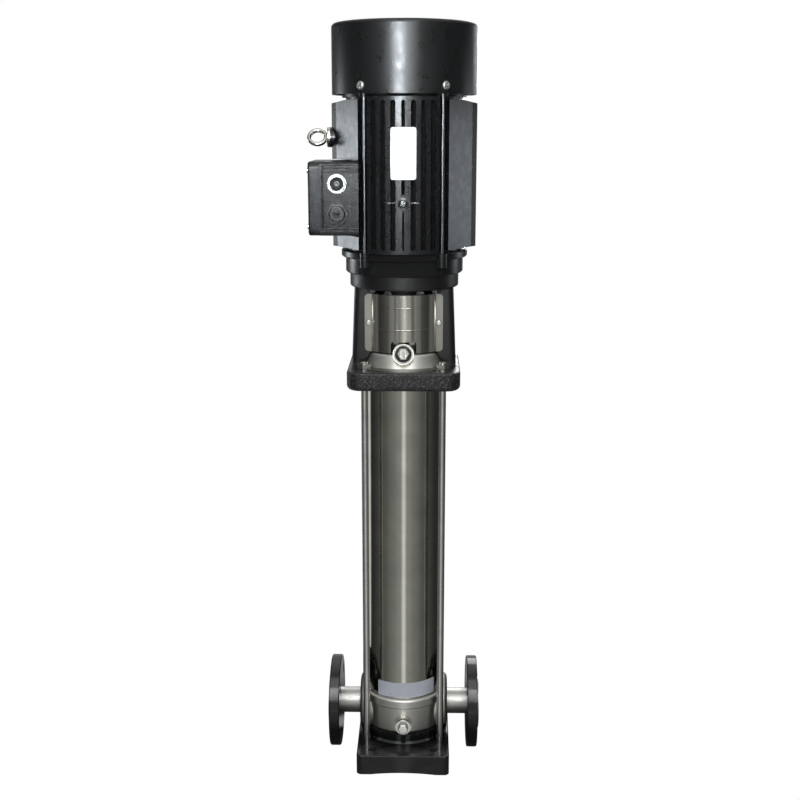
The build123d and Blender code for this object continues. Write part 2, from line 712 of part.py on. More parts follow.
def vent_plug():
    """Collar plug in the vent boss: raised rim, hexagon and a bore for the screw."""
    rim = vent_cylinder(VENT_COLLAR_RADIUS, 0, VENT_RIM)
    rim -= vent_cylinder(VENT_COLLAR_RADIUS - VENT_RIM_WALL, VENT_RIM / 2, VENT_RIM + PAST)
    plug = rim + vent_cylinder(VENT_HOLE_RADIUS - RUN_GAP, -VENT_THREAD, PAST)
    hexed = extrude(RegularPolygon(VENT_HEX_RADIUS, 6), VENT_HEX)
    hexed = chamfer(hexed.faces().sort_by(Axis.Z)[-1].edges(), HEX_EDGE)
    plug += vent_frame() * hexed
    return plug - vent_cylinder(VENT_SCREW_RADIUS, -VENT_THREAD - PAST, VENT_HEX + PAST)


def vent_screw():
    """Small screw that lets air out of the head."""
    seat = VENT_HEX + RING_GAP
    screw = vent_cylinder(VENT_SCREW_RADIUS - RUN_GAP, VENT_SCREW_SHORT - VENT_THREAD, seat + PAST)
    cap = vent_cylinder(VENT_CAP_RADIUS, seat, seat + VENT_CAP)
    rim = cap.edges().filter_by(GeomType.CIRCLE).sort_by(Axis.Y)[0]
    return screw + fillet(rim, VENT_CAP_EDGE)


def motor_stool():
    """Cast stool: square flange, two tapered columns and a round top flange."""
    side = 2 * STOOL_HALF
    flange = extrude(RectangleRounded(side, side, STOOL_CORNER), STOOL_FLANGE)
    flange = fillet(flange.faces().sort_by(Axis.Z)[0].edges(), STOOL_BOTTOM_EDGE)
    flange = fillet(flange.faces().sort_by(Axis.Z)[-1].edges(), STOOL_TOP_EDGE)
    stool = Pos(0, 0, Z_STOOL) * flange
    stool += stool_columns(STOOL_HALF - COLUMN_SETBACK)
    cap = rod(STOOL_TOP_RADIUS, Z_STOOL_TOP, Z_MOTOR)
    stool += fillet(cap.edges().sort_by(Axis.Z)[0], STOOL_TOP_RIM)
    stool -= rod(SPIGOT_RADIUS + RUN_GAP, Z_STOOL_TOP - PAST, Z_MOTOR + PAST)
    stool -= rod(RIM_RADIUS + RING_GAP, Z_STOOL - PAST, Z_HEAD + HEAD_RIM)
    stool -= rod(DOME_RADIUS + RING_GAP, Z_HEAD, Z_STOOL_DECK)
    for x, y in corners(ROD_OFFSET, ROD_OFFSET):
        stool -= rod(ROD_RADIUS + ROD_HOLE_GAP, Z_STOOL - PAST, Z_STOOL_DECK + PAST, x, y)
    for x, y in motor_bolt_points():
        hole = MOTOR_BOLT_RADIUS + MOTOR_BOLT_GAP
        stool -= rod(hole, Z_STOOL_TOP - PAST, Z_MOTOR + PAST, x, y)
    for turn in (0, 180):
        for x in (-GUARD_SCREW_X, GUARD_SCREW_X):
            hole = along_y(GUARD_SCREW_RADIUS + RUN_GAP, -COLUMN_HALF_DEPTH - PAST,
                           GUARD_SCREW_DEPTH - COLUMN_HALF_DEPTH, x, guard_middle())
            stool -= hole.rotate(Axis.Z, turn)
    return stool


def stool_columns(foot):
    """Both columns: a tapered block with the coupling's space bored out."""
    depth = 2 * COLUMN_HALF_DEPTH
    low = Z_STOOL_DECK - STOOL_TOP_EDGE
    head = foot - COLUMN_TAPER
    bottom = Pos(0, 0, low) * RectangleRounded(2 * foot, depth, COLUMN_CORNER)
    top = Pos(0, 0, Z_STOOL_TOP + PAST) * RectangleRounded(2 * head, depth, COLUMN_CORNER)
    column = loft([bottom, top])
    column -= rod(COLUMN_INNER_RADIUS, low - PAST, Z_MOTOR)
    column -= block(-COLUMN_WINDOW, COLUMN_WINDOW, -depth, depth, low - PAST, Z_MOTOR)
    room = DOME_RADIUS + RING_GAP
    band = Z_DOME + DOME_BAND + RING_GAP
    column -= rod(room, low - PAST, band)
    column -= turned((0, band), (room, band), (DOME_TOP_RADIUS + DOME_STEP, Z_HEAD_TOP),
                     (0, Z_HEAD_TOP))
    return column


def motor_bolt_points():
    """The four motor bolt centres, at 45 degrees to the ports."""
    return [polar(MOTOR_BOLT_CIRCLE, 45 + 90 * step) for step in range(4)]


def guard_middle():
    """The level of the guard screws."""
    return Z_STOOL_DECK + GUARD_BOTTOM_ABOVE_STOOL + GUARD_HEIGHT / 2


def guard_profile(gap, half):
    """The guard's outline seen from above, at a distance in front of the columns."""
    y = -COLUMN_HALF_DEPTH - RUN_GAP - gap
    bow = ThreePointArc((-GUARD_FOLD, y), (0, y - GUARD_BULGE), (GUARD_FOLD, y))
    if half <= GUARD_FOLD:
        return bow
    return Line((-half, y), (-GUARD_FOLD, y)) + bow + Line((GUARD_FOLD, y), (half, y))


def sheet_band(inner_gap, outer_gap, half, bottom, top):
    """A band of bent sheet between two distances in front of the columns."""
    inner = guard_profile(inner_gap, half)
    outer = guard_profile(outer_gap, half)
    y0 = -COLUMN_HALF_DEPTH - RUN_GAP - inner_gap
    y1 = -COLUMN_HALF_DEPTH - RUN_GAP - outer_gap
    left = Line((-half, y0), (-half, y1))
    right = Line((half, y0), (half, y1))
    return Pos(0, 0, bottom) * extrude(make_face(inner + outer + left + right), top - bottom)


def coupling_guard(side):
    """Bowed sheet guard with two beads and a notch over the vent plug."""
    bottom = Z_STOOL_DECK + GUARD_BOTTOM_ABOVE_STOOL
    top = bottom + GUARD_HEIGHT
    back = -COLUMN_HALF_DEPTH - RUN_GAP
    front = back - GUARD_SHEET
    guard = sheet_band(0, GUARD_SHEET, GUARD_HALF_WIDTH, bottom, top)
    trim = block(-GUARD_HALF_WIDTH, GUARD_HALF_WIDTH, front - 2 * GUARD_BULGE, back, bottom, top)
    guard &= fillet(trim.edges().filter_by(Axis.Y), GUARD_CORNER)
    for rise in (GUARD_BEAD_LOW, GUARD_BEAD_HIGH):
        bead = sheet_band(GUARD_SHEET / 2, GUARD_SHEET + GUARD_BEAD, GUARD_HALF_WIDTH,
                          bottom + rise, bottom + rise + GUARD_BEAD_HEIGHT)
        bead &= block(-GUARD_BEAD_HALF, GUARD_BEAD_HALF, front - 2 * GUARD_BULGE, back,
                      bottom, top)
        crest = bead.faces().sort_by(Axis.Y)[0]
        guard += fillet(crest.edges().filter_by(Axis.Z, reverse=True), GUARD_BEAD_EDGE)
    half = GUARD_NOTCH_HALF
    notch = block(-half, half, front - 2 * GUARD_BULGE, front - PAST,
                  bottom - GUARD_NOTCH_HEIGHT, bottom + GUARD_NOTCH_HEIGHT)
    guard -= fillet(notch.edges().filter_by(Axis.Y), GUARD_NOTCH_CORNER)
    for x in (-GUARD_SCREW_X, GUARD_SCREW_X):
        guard -= along_y(GUARD_SCREW_RADIUS + RUN_GAP, front - PAST, back + PAST, x,
                         guard_middle())
    return guard if side < 0 else guard.rotate(Axis.Z, 180)


def guard_screws():
    """Four round-headed screws that hold both guards on the columns."""
    screws = []
    y0 = -COLUMN_HALF_DEPTH - RUN_GAP - GUARD_SHEET
    tip = GUARD_SCREW_DEPTH - COLUMN_HALF_DEPTH
    for turn in (0, 180):
        for x in (-GUARD_SCREW_X, GUARD_SCREW_X):
            shank = along_y(GUARD_SCREW_RADIUS, y0 - PAST, tip, x, guard_middle())
            head = along_y(GUARD_SCREW_HEAD_RADIUS, y0 - GUARD_SCREW_HEAD, y0, x, guard_middle())
            head = fillet(head.edges().filter_by(GeomType.CIRCLE).sort_by(Axis.Y)[0],
                          GUARD_SCREW_HEAD / 2)
            screws.append((shank + head).rotate(Axis.Z, turn))
    return screws


def coupling_half(side):
    """Half of the split coupling that grips both shafts."""
    bottom = Z_COUPLING
    top = Z_COUPLING + COUPLING_LENGTH
    edge = COUPLING_RADIUS - COUPLING_EDGE
    half = turned(
        (0, bottom), (edge, bottom), (COUPLING_RADIUS, bottom + COUPLING_EDGE),
        (COUPLING_RADIUS, top - COUPLING_EDGE), (edge, top), (0, top))
    half -= rod(PUMP_SHAFT_RADIUS + RUN_GAP, bottom - PAST, Z_SHAFT_MEET)
    half -= rod(MOTOR_SHAFT_RADIUS + RUN_GAP, Z_SHAFT_MEET, top + PAST)
    pin = PIN_HALF + PAST
    half -= along_x(PIN_RADIUS + RUN_GAP, -pin, pin, 0, Z_COUPLING + SHAFT_MEET / 2)
    seat = COUPLING_RADIUS - COUPLING_BOLT_INSET
    far = 2 * COUPLING_RADIUS
    for x, z in coupling_bolt_points():
        half -= along_y(COUPLING_BOLT_RADIUS + RUN_GAP, -far, far, x, z)
        half -= along_y(COUPLING_POCKET_RADIUS, -far, -seat, x, z)
        half -= along_y(COUPLING_POCKET_RADIUS, seat, far, x, z)
    half &= block(-far, far, COUPLING_SPLIT / 2, far, bottom - PAST, top + PAST)
    return half if side > 0 else half.rotate(Axis.Z, 180)


def coupling_bolt_points():
    """The four bolt centres on the coupling's split face."""
    low = Z_COUPLING + COUPLING_BOLT_INSET
    high = Z_COUPLING + COUPLING_LENGTH - COUPLING_BOLT_INSET
    return [(x, z) for x in (-COUPLING_BOLT_X, COUPLING_BOLT_X) for z in (low, high)]


def coupling_bolts():
    """Four socket screws that clamp the coupling halves together."""
    bolts = []
    reach = COUPLING_RADIUS - COUPLING_BOLT_INSET
    face = -reach - COUPLING_HEAD
    for x, z in coupling_bolt_points():
        shank = along_y(COUPLING_BOLT_RADIUS, -reach - PAST, reach + COUPLING_BOLT_END, x, z)
        head = along_y(COUPLING_HEAD_RADIUS, face, -reach, x, z)
        socket = along_y(SOCKET_RADIUS, face - PAST, face + SOCKET_DEPTH, x, z)
        bolts.append(shank + head - socket)
    return bolts


def shaft_pin():
    """Cross pin through the top of the pump shaft."""
    return along_x(PIN_RADIUS, -PIN_HALF, PIN_HALF, 0, Z_COUPLING + SHAFT_MEET / 2)


def pump_shaft():
    """Long shaft from the lowest impeller up into the coupling."""
    bottom = Z_SLEEVE + SHAFT_START
    shaft = rod(PUMP_SHAFT_RADIUS, bottom, Z_SHAFT_MEET - TURN_GAP)
    pin = PIN_HALF + PAST
    return shaft - along_x(PIN_RADIUS + RUN_GAP, -pin, pin, 0, Z_COUPLING + SHAFT_MEET / 2)


def swept_vane(inner, outer, sweep, height):
    """One curved vane that turns through the sweep angle from hub to rim."""
    middle = (inner + outer) / 2
    path = ThreePointArc(polar(inner, 0), polar(middle, sweep * VANE_CURVE), polar(outer, sweep))
    return extrude(trace(path, VANE), height)


def impeller():
    """Closed impeller: hub, lower shroud, curved vanes and an eye shroud."""
    foot = NECK_LENGTH + SHROUD
    roof = foot + VANE_HEIGHT
    wheel = rod(HUB_RADIUS, 0, STAGE_PITCH)
    wheel += rod(IMPELLER_RADIUS, roof, roof + SHROUD)
    wheel += ring(IMPELLER_RADIUS, EYE_RADIUS - SHROUD, foot - SHROUD, foot)
    wheel += ring(EYE_RADIUS, EYE_RADIUS - SHROUD, 0, foot)
    vane = swept_vane(EYE_RADIUS - SHROUD, IMPELLER_RADIUS - VANE_INSET, VANE_SWEEP, VANE_HEIGHT)
    for step in range(VANES):
        wheel += Pos(0, 0, foot) * Rot(0, 0, 360 * step / VANES) * vane
    return wheel - rod(PUMP_SHAFT_RADIUS + RUN_GAP, -PAST, STAGE_PITCH + PAST)


def chamber():
    """Stage chamber: wall, roof with the next stage's neck, and return vanes."""
    roof = STAGE_PITCH - CHAMBER_WALL
    cup = ring(CHAMBER_RADIUS, CHAMBER_RADIUS - CHAMBER_WALL, 0, STAGE_PITCH)
    cup += ring(CHAMBER_RADIUS, EYE_RADIUS + RING_GAP, roof, STAGE_PITCH)
    vane = swept_vane(EYE_RADIUS + RETURN_VANE_START, CHAMBER_RADIUS - RETURN_VANE_BITE,
                      -RETURN_SWEEP, RETURN_VANE_HEIGHT)
    for step in range(VANES):
        turn = Rot(0, 0, 360 * step / VANES)
        cup += Pos(0, 0, roof - RETURN_VANE_HEIGHT) * turn * vane
    return cup


def stage_copies(piece):
    """One copy of a stage piece in every stage."""
    return [Pos(0, 0, Z_STAGES + STAGE_PITCH * i) * piece for i in range(STAGES)]


def suction_chamber():
    """Inlet piece between the casing's cup and the first stage."""
    step = Z_STAGES - SUCTION_STEP
    return turned(
        (CUP_RADIUS - SUCTION_LIP, Z_SLEEVE), (CUP_RADIUS, Z_SLEEVE), (CHAMBER_RADIUS, step),
        (CHAMBER_RADIUS, Z_STAGES), (EYE_RADIUS + RING_GAP, Z_STAGES),
        (EYE_RADIUS + RING_GAP, step))


def top_chamber():
    """Discharge piece above the last stage, with windows into the annulus."""
    top = Z_CHAMBER_TOP
    piece = ring(CHAMBER_RADIUS, CHAMBER_RADIUS - CHAMBER_WALL, Z_STAGES_TOP, top)
    piece += ring(CHAMBER_RADIUS, CARRIER_RADIUS, top - CHAMBER_WALL, top)
    reach = CHAMBER_RADIUS + PAST
    for turn in (0, 90):
        window = block(-reach, reach, -WINDOW_HALF, WINDOW_HALF, Z_STAGES_TOP + WINDOW_EDGE,
                       top - WINDOW_EDGE)
        piece -= window.rotate(Axis.Z, turn + 45)
    return piece


def stack_straps():
    """Two flat straps that hold the stages together."""
    inner = CHAMBER_RADIUS + RING_GAP
    half = STRAP_WIDTH / 2
    strap = block(-half, half, inner, inner + STRAP_THICKNESS, Z_STAGES - SUCTION_STEP,
                  Z_CHAMBER_TOP)
    return [strap, strap.rotate(Axis.Z, 180)]


def shaft_bearing():
    """Hard ring and its carrier in the roof of the top chamber."""
    return ring(CARRIER_RADIUS - RUN_GAP, BUSH_RADIUS + RUN_GAP,
                Z_CHAMBER_TOP - BEARING_RING_HEIGHT, Z_CHAMBER_TOP)


def bearing_sleeve():
    """Hard sleeve on the shaft that runs in the bearing ring."""
    return ring(BUSH_RADIUS, PUMP_SHAFT_RADIUS + RUN_GAP, Z_STAGES_TOP,
                Z_CHAMBER_TOP + BUSH_ABOVE)


def shaft_nut():
    """Locknut under the lowest impeller."""
    bottom = Z_STAGES - SHAFT_NUT_HEIGHT
    nut = hexagon(SHAFT_NUT_FLATS, bottom, Z_STAGES)
    return nut - rod(PUMP_SHAFT_RADIUS + RUN_GAP, bottom - PAST, Z_STAGES + PAST)


def seal_plate():
    """Plate on the pump head that holds the seal's fixed face."""
    bottom = Z_HEAD_TOP - SEAL_SPIGOT
    plate = rod(SEAL_PLATE_RADIUS, Z_HEAD_TOP, Z_HEAD_TOP + SEAL_PLATE)
    plate += rod(HEAD_NECK_RADIUS - RUN_GAP, bottom, Z_HEAD_TOP)
    top = Z_HEAD_TOP + SEAL_PLATE + PAST
    plate -= rod(PUMP_SHAFT_RADIUS + TURN_GAP, bottom - PAST, top)
    plate -= rod(SEAT_RADIUS + RUN_GAP, bottom - PAST, bottom + SEAT_HEIGHT / 2)
    for x, y in seal_screw_points():
        plate -= rod(SEAL_SCREW_RADIUS + RUN_GAP, Z_HEAD_TOP - PAST, top, x, y)
    return plate


def seal_screw_points():
    """The centres of the seal plate's screws."""
    return [polar(SEAL_PLATE_RADIUS - SEAL_SCREW_INSET, 45 + 90 * step) for step in range(4)]


def seal_screws():
    """Four screws on the seal plate."""
    deck = Z_HEAD_TOP + SEAL_PLATE
    screws = []
    for x, y in seal_screw_points():
        shank = rod(SEAL_SCREW_RADIUS, Z_HEAD_TOP, deck + PAST, x, y)
        screws.append(shank + rod(SEAL_SCREW_HEAD_RADIUS, deck, deck + SEAL_SCREW_HEAD, x, y))
    return screws


def seal_seat():
    """Fixed face of the mechanical seal."""
    top = Z_HEAD_TOP - SEAL_SPIGOT + SEAT_HEIGHT / 2
    return ring(SEAT_RADIUS, PUMP_SHAFT_RADIUS + TURN_GAP, top - SEAT_HEIGHT, top)


def seal_head():
    """Turning part of the mechanical seal, with its drive collar."""
    top = Z_HEAD_TOP - SEAL_SPIGOT - SEAT_HEIGHT / 2 - WEDGE_GAP
    bore = PUMP_SHAFT_RADIUS + RUN_GAP
    foot = top - SEAL_HEAD_LENGTH
    waist = SEAL_HEAD_RADIUS - SEAL_STEP
    nose = SEAL_HEAD_RADIUS - SEAL_NOSE
    return turned(
        (bore, foot), (waist, foot), (waist, top - SEAL_COLLAR), (SEAL_HEAD_RADIUS, top - SEAL_COLLAR),
        (SEAL_HEAD_RADIUS, top - SEAL_NOSE), (nose, top - SEAL_NOSE), (nose, top), (bore, top))


def through_bolt_points():
    """The centres of the motor's four long bolts."""
    x, y = polar(BARREL_RADIUS + THROUGH_BOLT_OUT, THROUGH_BOLT_ANGLE)
    return corners(x, y)


def motor_flange():
    """Drive-end shield with the spigot, bearing seat and through-bolt lugs."""
    rim = Z_MOTOR + MOTOR_FLANGE
    edge = MOTOR_RIM_EDGE
    shield = turned(
        (0, Z_MOTOR - SPIGOT_HEIGHT), (SPIGOT_RADIUS, Z_MOTOR - SPIGOT_HEIGHT),
        (SPIGOT_RADIUS, Z_MOTOR), (MOTOR_FLANGE_RADIUS - edge, Z_MOTOR),
        (MOTOR_FLANGE_RADIUS, Z_MOTOR + edge), (MOTOR_FLANGE_RADIUS, rim),
        (MOTOR_RIM_RADIUS - edge, rim), (MOTOR_RIM_RADIUS, rim + edge),
        (MOTOR_RIM_RADIUS, Z_HOUSING - edge), (MOTOR_RIM_RADIUS - edge, Z_HOUSING),
        (0, Z_HOUSING))
    for x, y in through_bolt_points():
        shield += rod(LUG_RADIUS, rim - LUG_DROP, Z_HOUSING, x, y)
    seat = Z_HOUSING - BEARING_WIDTH
    shield -= rod(BEARING_RADIUS + RUN_GAP, seat, Z_HOUSING + PAST)
    shield -= rod(MOTOR_SHAFT_RADIUS + 2 * TURN_GAP, Z_MOTOR - 2 * SPIGOT_HEIGHT, Z_HOUSING)
    for x, y in through_bolt_points():
        shield -= rod(THROUGH_BOLT_RADIUS + RUN_GAP, rim - SPIGOT_HEIGHT, Z_HOUSING + PAST, x, y)
    deep = Z_MOTOR + MOTOR_BOLT_DEPTH + PAST
    for x, y in motor_bolt_points():
        shield -= rod(MOTOR_BOLT_RADIUS + RUN_GAP, Z_MOTOR - PAST, deep, x, y)
    return shield


def motor_bolts():
    """Four hexagon bolts up through the stool into the motor flange."""
    bolts = []
    top = Z_MOTOR + MOTOR_BOLT_DEPTH
    for x, y in motor_bolt_points():
        head = hexagon(MOTOR_BOLT_FLATS, Z_STOOL_TOP - MOTOR_BOLT_HEAD, Z_STOOL_TOP, x, y)
        bolts.append(head + rod(MOTOR_BOLT_RADIUS, Z_STOOL_TOP - PAST, top, x, y))
    return bolts


def pad_outline(side):
    """The outline, seen from above, of the wing that carries one side's pads."""
    near = polar(BARREL_RADIUS + PAD_NEAR_OUT, PAD_NEAR_ANGLE)
    far = polar(BARREL_RADIUS + PAD_FAR_OUT, PAD_FAR_ANGLE)
    edge = polar(BARREL_RADIUS + PAD_SIDE_OUT, PAD_SIDE_ANGLE)
    root = polar(BARREL_RADIUS - PAD_ROOT, PAD_NEAR_ANGLE)
    half = [near, far, edge]
    points = [(x, -y) for x, y in half] + [(x, y) for x, y in reversed(half)]
    points += [root, (root[0], -root[1])]
    return make_face(Polyline(*[(side * x, y) for x, y in points], close=True))


def pad_slope(side):
    """A wedge that slopes the outer corner off the top of one side's pads."""
    top = Z_SHIELD - PAD_END
    out = BARREL_RADIUS + PAD_SIDE_OUT
    outline = [(out - PAD_SLOPE_IN, top), (out + PAST, top - PAD_SLOPE), (out + PAST, top + PAST),
               (out - PAD_SLOPE_IN, top + PAST)]
    face = Plane.XZ * make_face(Polyline(*[(side * x, z) for x, z in outline], close=True))
    return extrude(face, 2 * BARREL_RADIUS, both=True)


def radial_slot(width, start, end):
    """A cutter for one groove between fins, round at both ends, facing the front."""
    tip = -FIN_TIP_RADIUS - FIN_HEIGHT
    floor = -BARREL_RADIUS - GROOVE_FLOOR
    half = width / 2
    slot = block(-half, half, tip, floor, start + half, end - half)
    slot += along_y(half, tip, floor, 0, start + half)
    return slot + along_y(half, tip, floor, 0, end - half)


def fin_bank():
    """One bank of fins, cut as grooves in a thick sector of the barrel."""
    start = Z_HOUSING + FIN_END
    end = Z_SHIELD - FIN_END
    edge = (FIN_GROUP - FIN_BANK_TRIM) / 2 * FIN_PITCH
    reach = 2 * FIN_TIP_RADIUS
    left = polar(reach, 270 - edge)
    right = polar(reach, 270 + edge)
    wedge = Pos(0, 0, Z_HOUSING) * extrude(make_face(Polyline((0, 0), left, right, close=True)),
                                           HOUSING_LENGTH)
    bank = rod(FIN_TIP_RADIUS, Z_HOUSING, Z_SHIELD) & wedge
    for index in range(1, FIN_GROUP):
        step = index - FIN_GROUP / 2
        if step:
            bank -= Rot(0, 0, step * FIN_PITCH) * radial_slot(FIN_GROOVE, start, end)
    return bank


def front_fins():
    """The front bank, its middle groove parted by the earth screw's boss."""
    split = Z_SHIELD - BOSS_BELOW_TOP
    bank = fin_bank()
    bank -= radial_slot(CENTRE_GROOVE, split + GROOVE_TO_BOSS, Z_SHIELD - FIN_END)
    return bank - radial_slot(LOWER_GROOVE, Z_HOUSING + FIN_END, split - GROOVE_TO_BOSS)


def back_fins():
    """The back bank, with one long middle groove."""
    bank = fin_bank() - radial_slot(CENTRE_GROOVE, Z_HOUSING + FIN_END, Z_SHIELD - FIN_END)
    return bank.rotate(Axis.Z, 180)


def diamond_boss():
    """Diamond-shaped boss for the earth screw, between the two middle fins."""
    boss_z = Z_SHIELD - BOSS_BELOW_TOP
    half = [(BOSS_HALF_WIDTH, 0), (0, BOSS_HALF_HEIGHT), (-BOSS_HALF_WIDTH, 0),
            (0, -BOSS_HALF_HEIGHT)]
    shape = extrude(make_face(Polyline(*half, close=True)), FIN_HEIGHT + BOSS_RISE + PAST)
    return Pos(0, -BARREL_RADIUS + PAST, boss_z) * Rot(90, 0, 0) * shape


def motor_housing():
    """Finned barrel with a flat-faced wing on each side and a lifting boss."""
    pad_height = HOUSING_LENGTH - 2 * PAD_END
    shell = rod(BARREL_RADIUS, Z_HOUSING, Z_SHIELD)
    shell += front_fins() + back_fins()
    shell += diamond_boss()
    for side in (-1, 1):
        outline = pad_outline(side)
        hollow = offset(outline, -PAD_WALL, kind=Kind.INTERSECTION)
        wing = extrude(outline - hollow, pad_height)
        shell += Pos(0, 0, Z_HOUSING + PAD_END) * wing - pad_slope(side)
    shell += along_x(EYE_COLLAR_RADIUS, -EYE_BOSS_X, -BARREL_RADIUS + PAD_ROOT, 0, Z_LIFT)
    shell -= box_space()
    shell += rod(BARREL_RADIUS, Z_HOUSING, Z_SHIELD)
    shell -= rod(BARREL_RADIUS - BARREL_WALL, Z_HOUSING - PAST, Z_SHIELD + PAST)
    shell -= along_x(EYE_SHANK_RADIUS + RUN_GAP, -EYE_BOSS_X - PAST,
                     -EYE_BOSS_X + EYE_SHANK + PAST, 0, Z_LIFT)
    for x, y in through_bolt_points():
        hole = THROUGH_BOLT_RADIUS + THROUGH_BOLT_GAP
        shell -= rod(hole, Z_HOUSING - PAST, Z_SHIELD + PAST, x, y)
    return shell


def box_space():
    """The room that the terminal box takes beside the barrel."""
    return block(-2 * BOX_OUTER_X, -BOX_INNER_X + PAST, -BOX_FRONT_Y - BOX_GAP,
                 BOX_BACK_Y + BOX_GAP, Z_BOX - BOX_GAP, Z_BOX + BOX_HEIGHT + BOX_GAP)


def end_shield():
    """Fan-end shield with the upper bearing seat and the cover's bosses."""
    top = Z_SHIELD + END_SHIELD
    shield = rod(END_SHIELD_RADIUS, Z_SHIELD, top)
    for x, y in through_bolt_points():
        shield += rod(LUG_RADIUS, Z_SHIELD, top, x, y)
    inner = COVER_RADIUS - COVER_WALL - SHIELD_ARM
    half = SHIELD_ARM_WIDTH / 2
    screw = Z_COVER + COVER_SCREW_RISE
    arm_top = screw + SHIELD_ARM_RISE
    for angle in cover_screw_angles():
        arm = block(inner, COVER_RADIUS, -half, half, top - PAST, arm_top)
        shield += arm.rotate(Axis.Z, angle)
    shield &= rod(COVER_RADIUS - COVER_WALL - RUN_GAP, Z_SHIELD, arm_top + PAST)
    bearing = bearing_levels()[1]
    hub_top = bearing + BEARING_WIDTH + HUB_LID
    shield += rod(BEARING_RADIUS + HUB_WALL, bearing, hub_top)
    shield -= rod(BEARING_RADIUS + RUN_GAP, bearing - PAST, bearing + BEARING_WIDTH)
    shield -= rod(BEARING_BORE + TURN_GAP, bearing, hub_top + PAST)
    for x, y in through_bolt_points():
        shield -= rod(THROUGH_BOLT_RADIUS + RUN_GAP, Z_SHIELD - PAST, top, x, y)
        shield -= rod(BOLT_HEAD_RADIUS + RUN_GAP, top - BOLT_HEAD, top, x, y)
    for angle in cover_screw_angles():
        hole = along_x(COVER_SCREW_RADIUS + RUN_GAP, COVER_RADIUS - COVER_SCREW_DEPTH - PAST,
                       COVER_RADIUS + PAST, 0, screw)
        shield -= hole.rotate(Axis.Z, angle)
    return shield


def through_bolts():
    """Four long bolts that clamp both shields on the housing."""
    bolts = []
    start = Z_MOTOR + MOTOR_FLANGE - SPIGOT_HEIGHT
    top = Z_SHIELD + END_SHIELD
    for x, y in through_bolt_points():
        bolt = rod(THROUGH_BOLT_RADIUS, start, top, x, y)
        bolts.append(bolt + rod(BOLT_HEAD_RADIUS, top - BOLT_HEAD, top, x, y))
    return bolts


def cover_screw_angles():
    """The directions of the four fan cover screws, in degrees from +X."""
    return [middle + side * COVER_SCREW_ANGLE for middle in (90, 270) for side in (-1, 1)]


def fan_cover():
    """Deep sheet cover with a rounded rim and a grille of ring slots."""
    cover = rod(COVER_RADIUS, Z_COVER, Z_COVER_TOP)
    cover = fillet(cover.faces().sort_by(Axis.Z)[-1].edges(), COVER_EDGE)
    inside = rod(COVER_RADIUS - COVER_WALL, Z_COVER - PAST, Z_COVER_TOP - COVER_WALL)
    cover -= fillet(inside.faces().sort_by(Axis.Z)[-1].edges(), COVER_EDGE - COVER_WALL)
    pitch = (GRILLE_OUTER - GRILLE_INNER) / GRILLE_ROWS
    slots = []
    for row in range(GRILLE_ROWS):
        inner = GRILLE_INNER + row * pitch
        outer = inner + pitch - GRILLE_BAR
        slots.append(ring(outer, inner, Z_COVER_TOP - GRILLE_DEPTH, Z_COVER_TOP + PAST))
    half = GRILLE_BAR / 2
    low = Z_COVER_TOP - 2 * GRILLE_DEPTH
    spoke = block(0, COVER_RADIUS, -half, half, low, Z_COVER_TOP + 2 * PAST)
    for slot in slots:
        for step in range(GRILLE_SPOKES):
            slot -= spoke.rotate(Axis.Z, 360 * step / GRILLE_SPOKES)
        cover -= slot
    for angle in cover_screw_angles():
        hole = along_x(COVER_SCREW_RADIUS + RUN_GAP, COVER_RADIUS - COVER_SCREW_DEPTH,
                       COVER_RADIUS + PAST, 0, Z_COVER + COVER_SCREW_RISE)
        cover -= hole.rotate(Axis.Z, angle)
    return cover


def cover_screws():
    """Four round-headed screws round the foot of the fan cover."""
    screws = []
    z = Z_COVER + COVER_SCREW_RISE
    for angle in cover_screw_angles():
        shank = along_x(COVER_SCREW_RADIUS, COVER_RADIUS - COVER_SCREW_DEPTH,
                        COVER_RADIUS + PAST, 0, z)
        head = along_x(COVER_HEAD_RADIUS, COVER_RADIUS, COVER_RADIUS + COVER_HEAD, 0, z)
        head = fillet(head.edges().filter_by(GeomType.CIRCLE).sort_by(Axis.X)[-1], COVER_HEAD / 2)
        screws.append((shank + head).rotate(Axis.Z, angle))
    return screws


def bearing_levels():
    """The lower face of each motor bearing."""
    return [Z_HOUSING - BEARING_WIDTH, Z_SHIELD - BEARING_COVER]


def bearing_outer_rings():
    """Fixed rings of the two motor bearings, with their side shields."""
    rings = []
    outer = BEARING_RADIUS - RACE_SHIELD_LAP
    inner = BEARING_BORE + RACE_WALL + RACE_SHIELD_GAP
    for z in bearing_levels():
        low = z + RACE_SHIELD_GAP
        high = z + BEARING_WIDTH - RACE_SHIELD_GAP
        race = ring(BEARING_RADIUS, BEARING_RADIUS - RACE_WALL, z, z + BEARING_WIDTH)
        race += ring(outer, inner, low, low + RACE_SHIELD)
        rings.append(race + ring(outer, inner, high - RACE_SHIELD, high))
    return rings


def bearing_inner_rings():
    """Turning rings of the two motor bearings."""
    return [ring(BEARING_BORE + RACE_WALL, BEARING_BORE + RUN_GAP, z, z + BEARING_WIDTH)
            for z in bearing_levels()]


def motor_shaft():
    """Stepped shaft from the coupling up to the fan."""
    lower = bearing_levels()[0]
    upper = bearing_levels()[1] + BEARING_WIDTH
    fan = Z_SHIELD + END_SHIELD + FAN_ABOVE_SHIELD
    shaft = rod(MOTOR_SHAFT_RADIUS, Z_SHAFT_MEET + TURN_GAP, lower)
    shaft += rod(BEARING_BORE, lower - PAST, upper)
    shaft += rod(BEARING_BORE + SHAFT_SHOULDER, lower + BEARING_WIDTH, bearing_levels()[1])
    shaft += rod(FAN_SHAFT_RADIUS, upper, fan + FAN_HEIGHT - 2 * FAN_PLATE)
    return shaft


def stator_levels():
    """The lower and upper face of the stator stack."""
    bottom = Z_HOUSING + STATOR_BELOW
    return (bottom, bottom + STATOR_LENGTH)


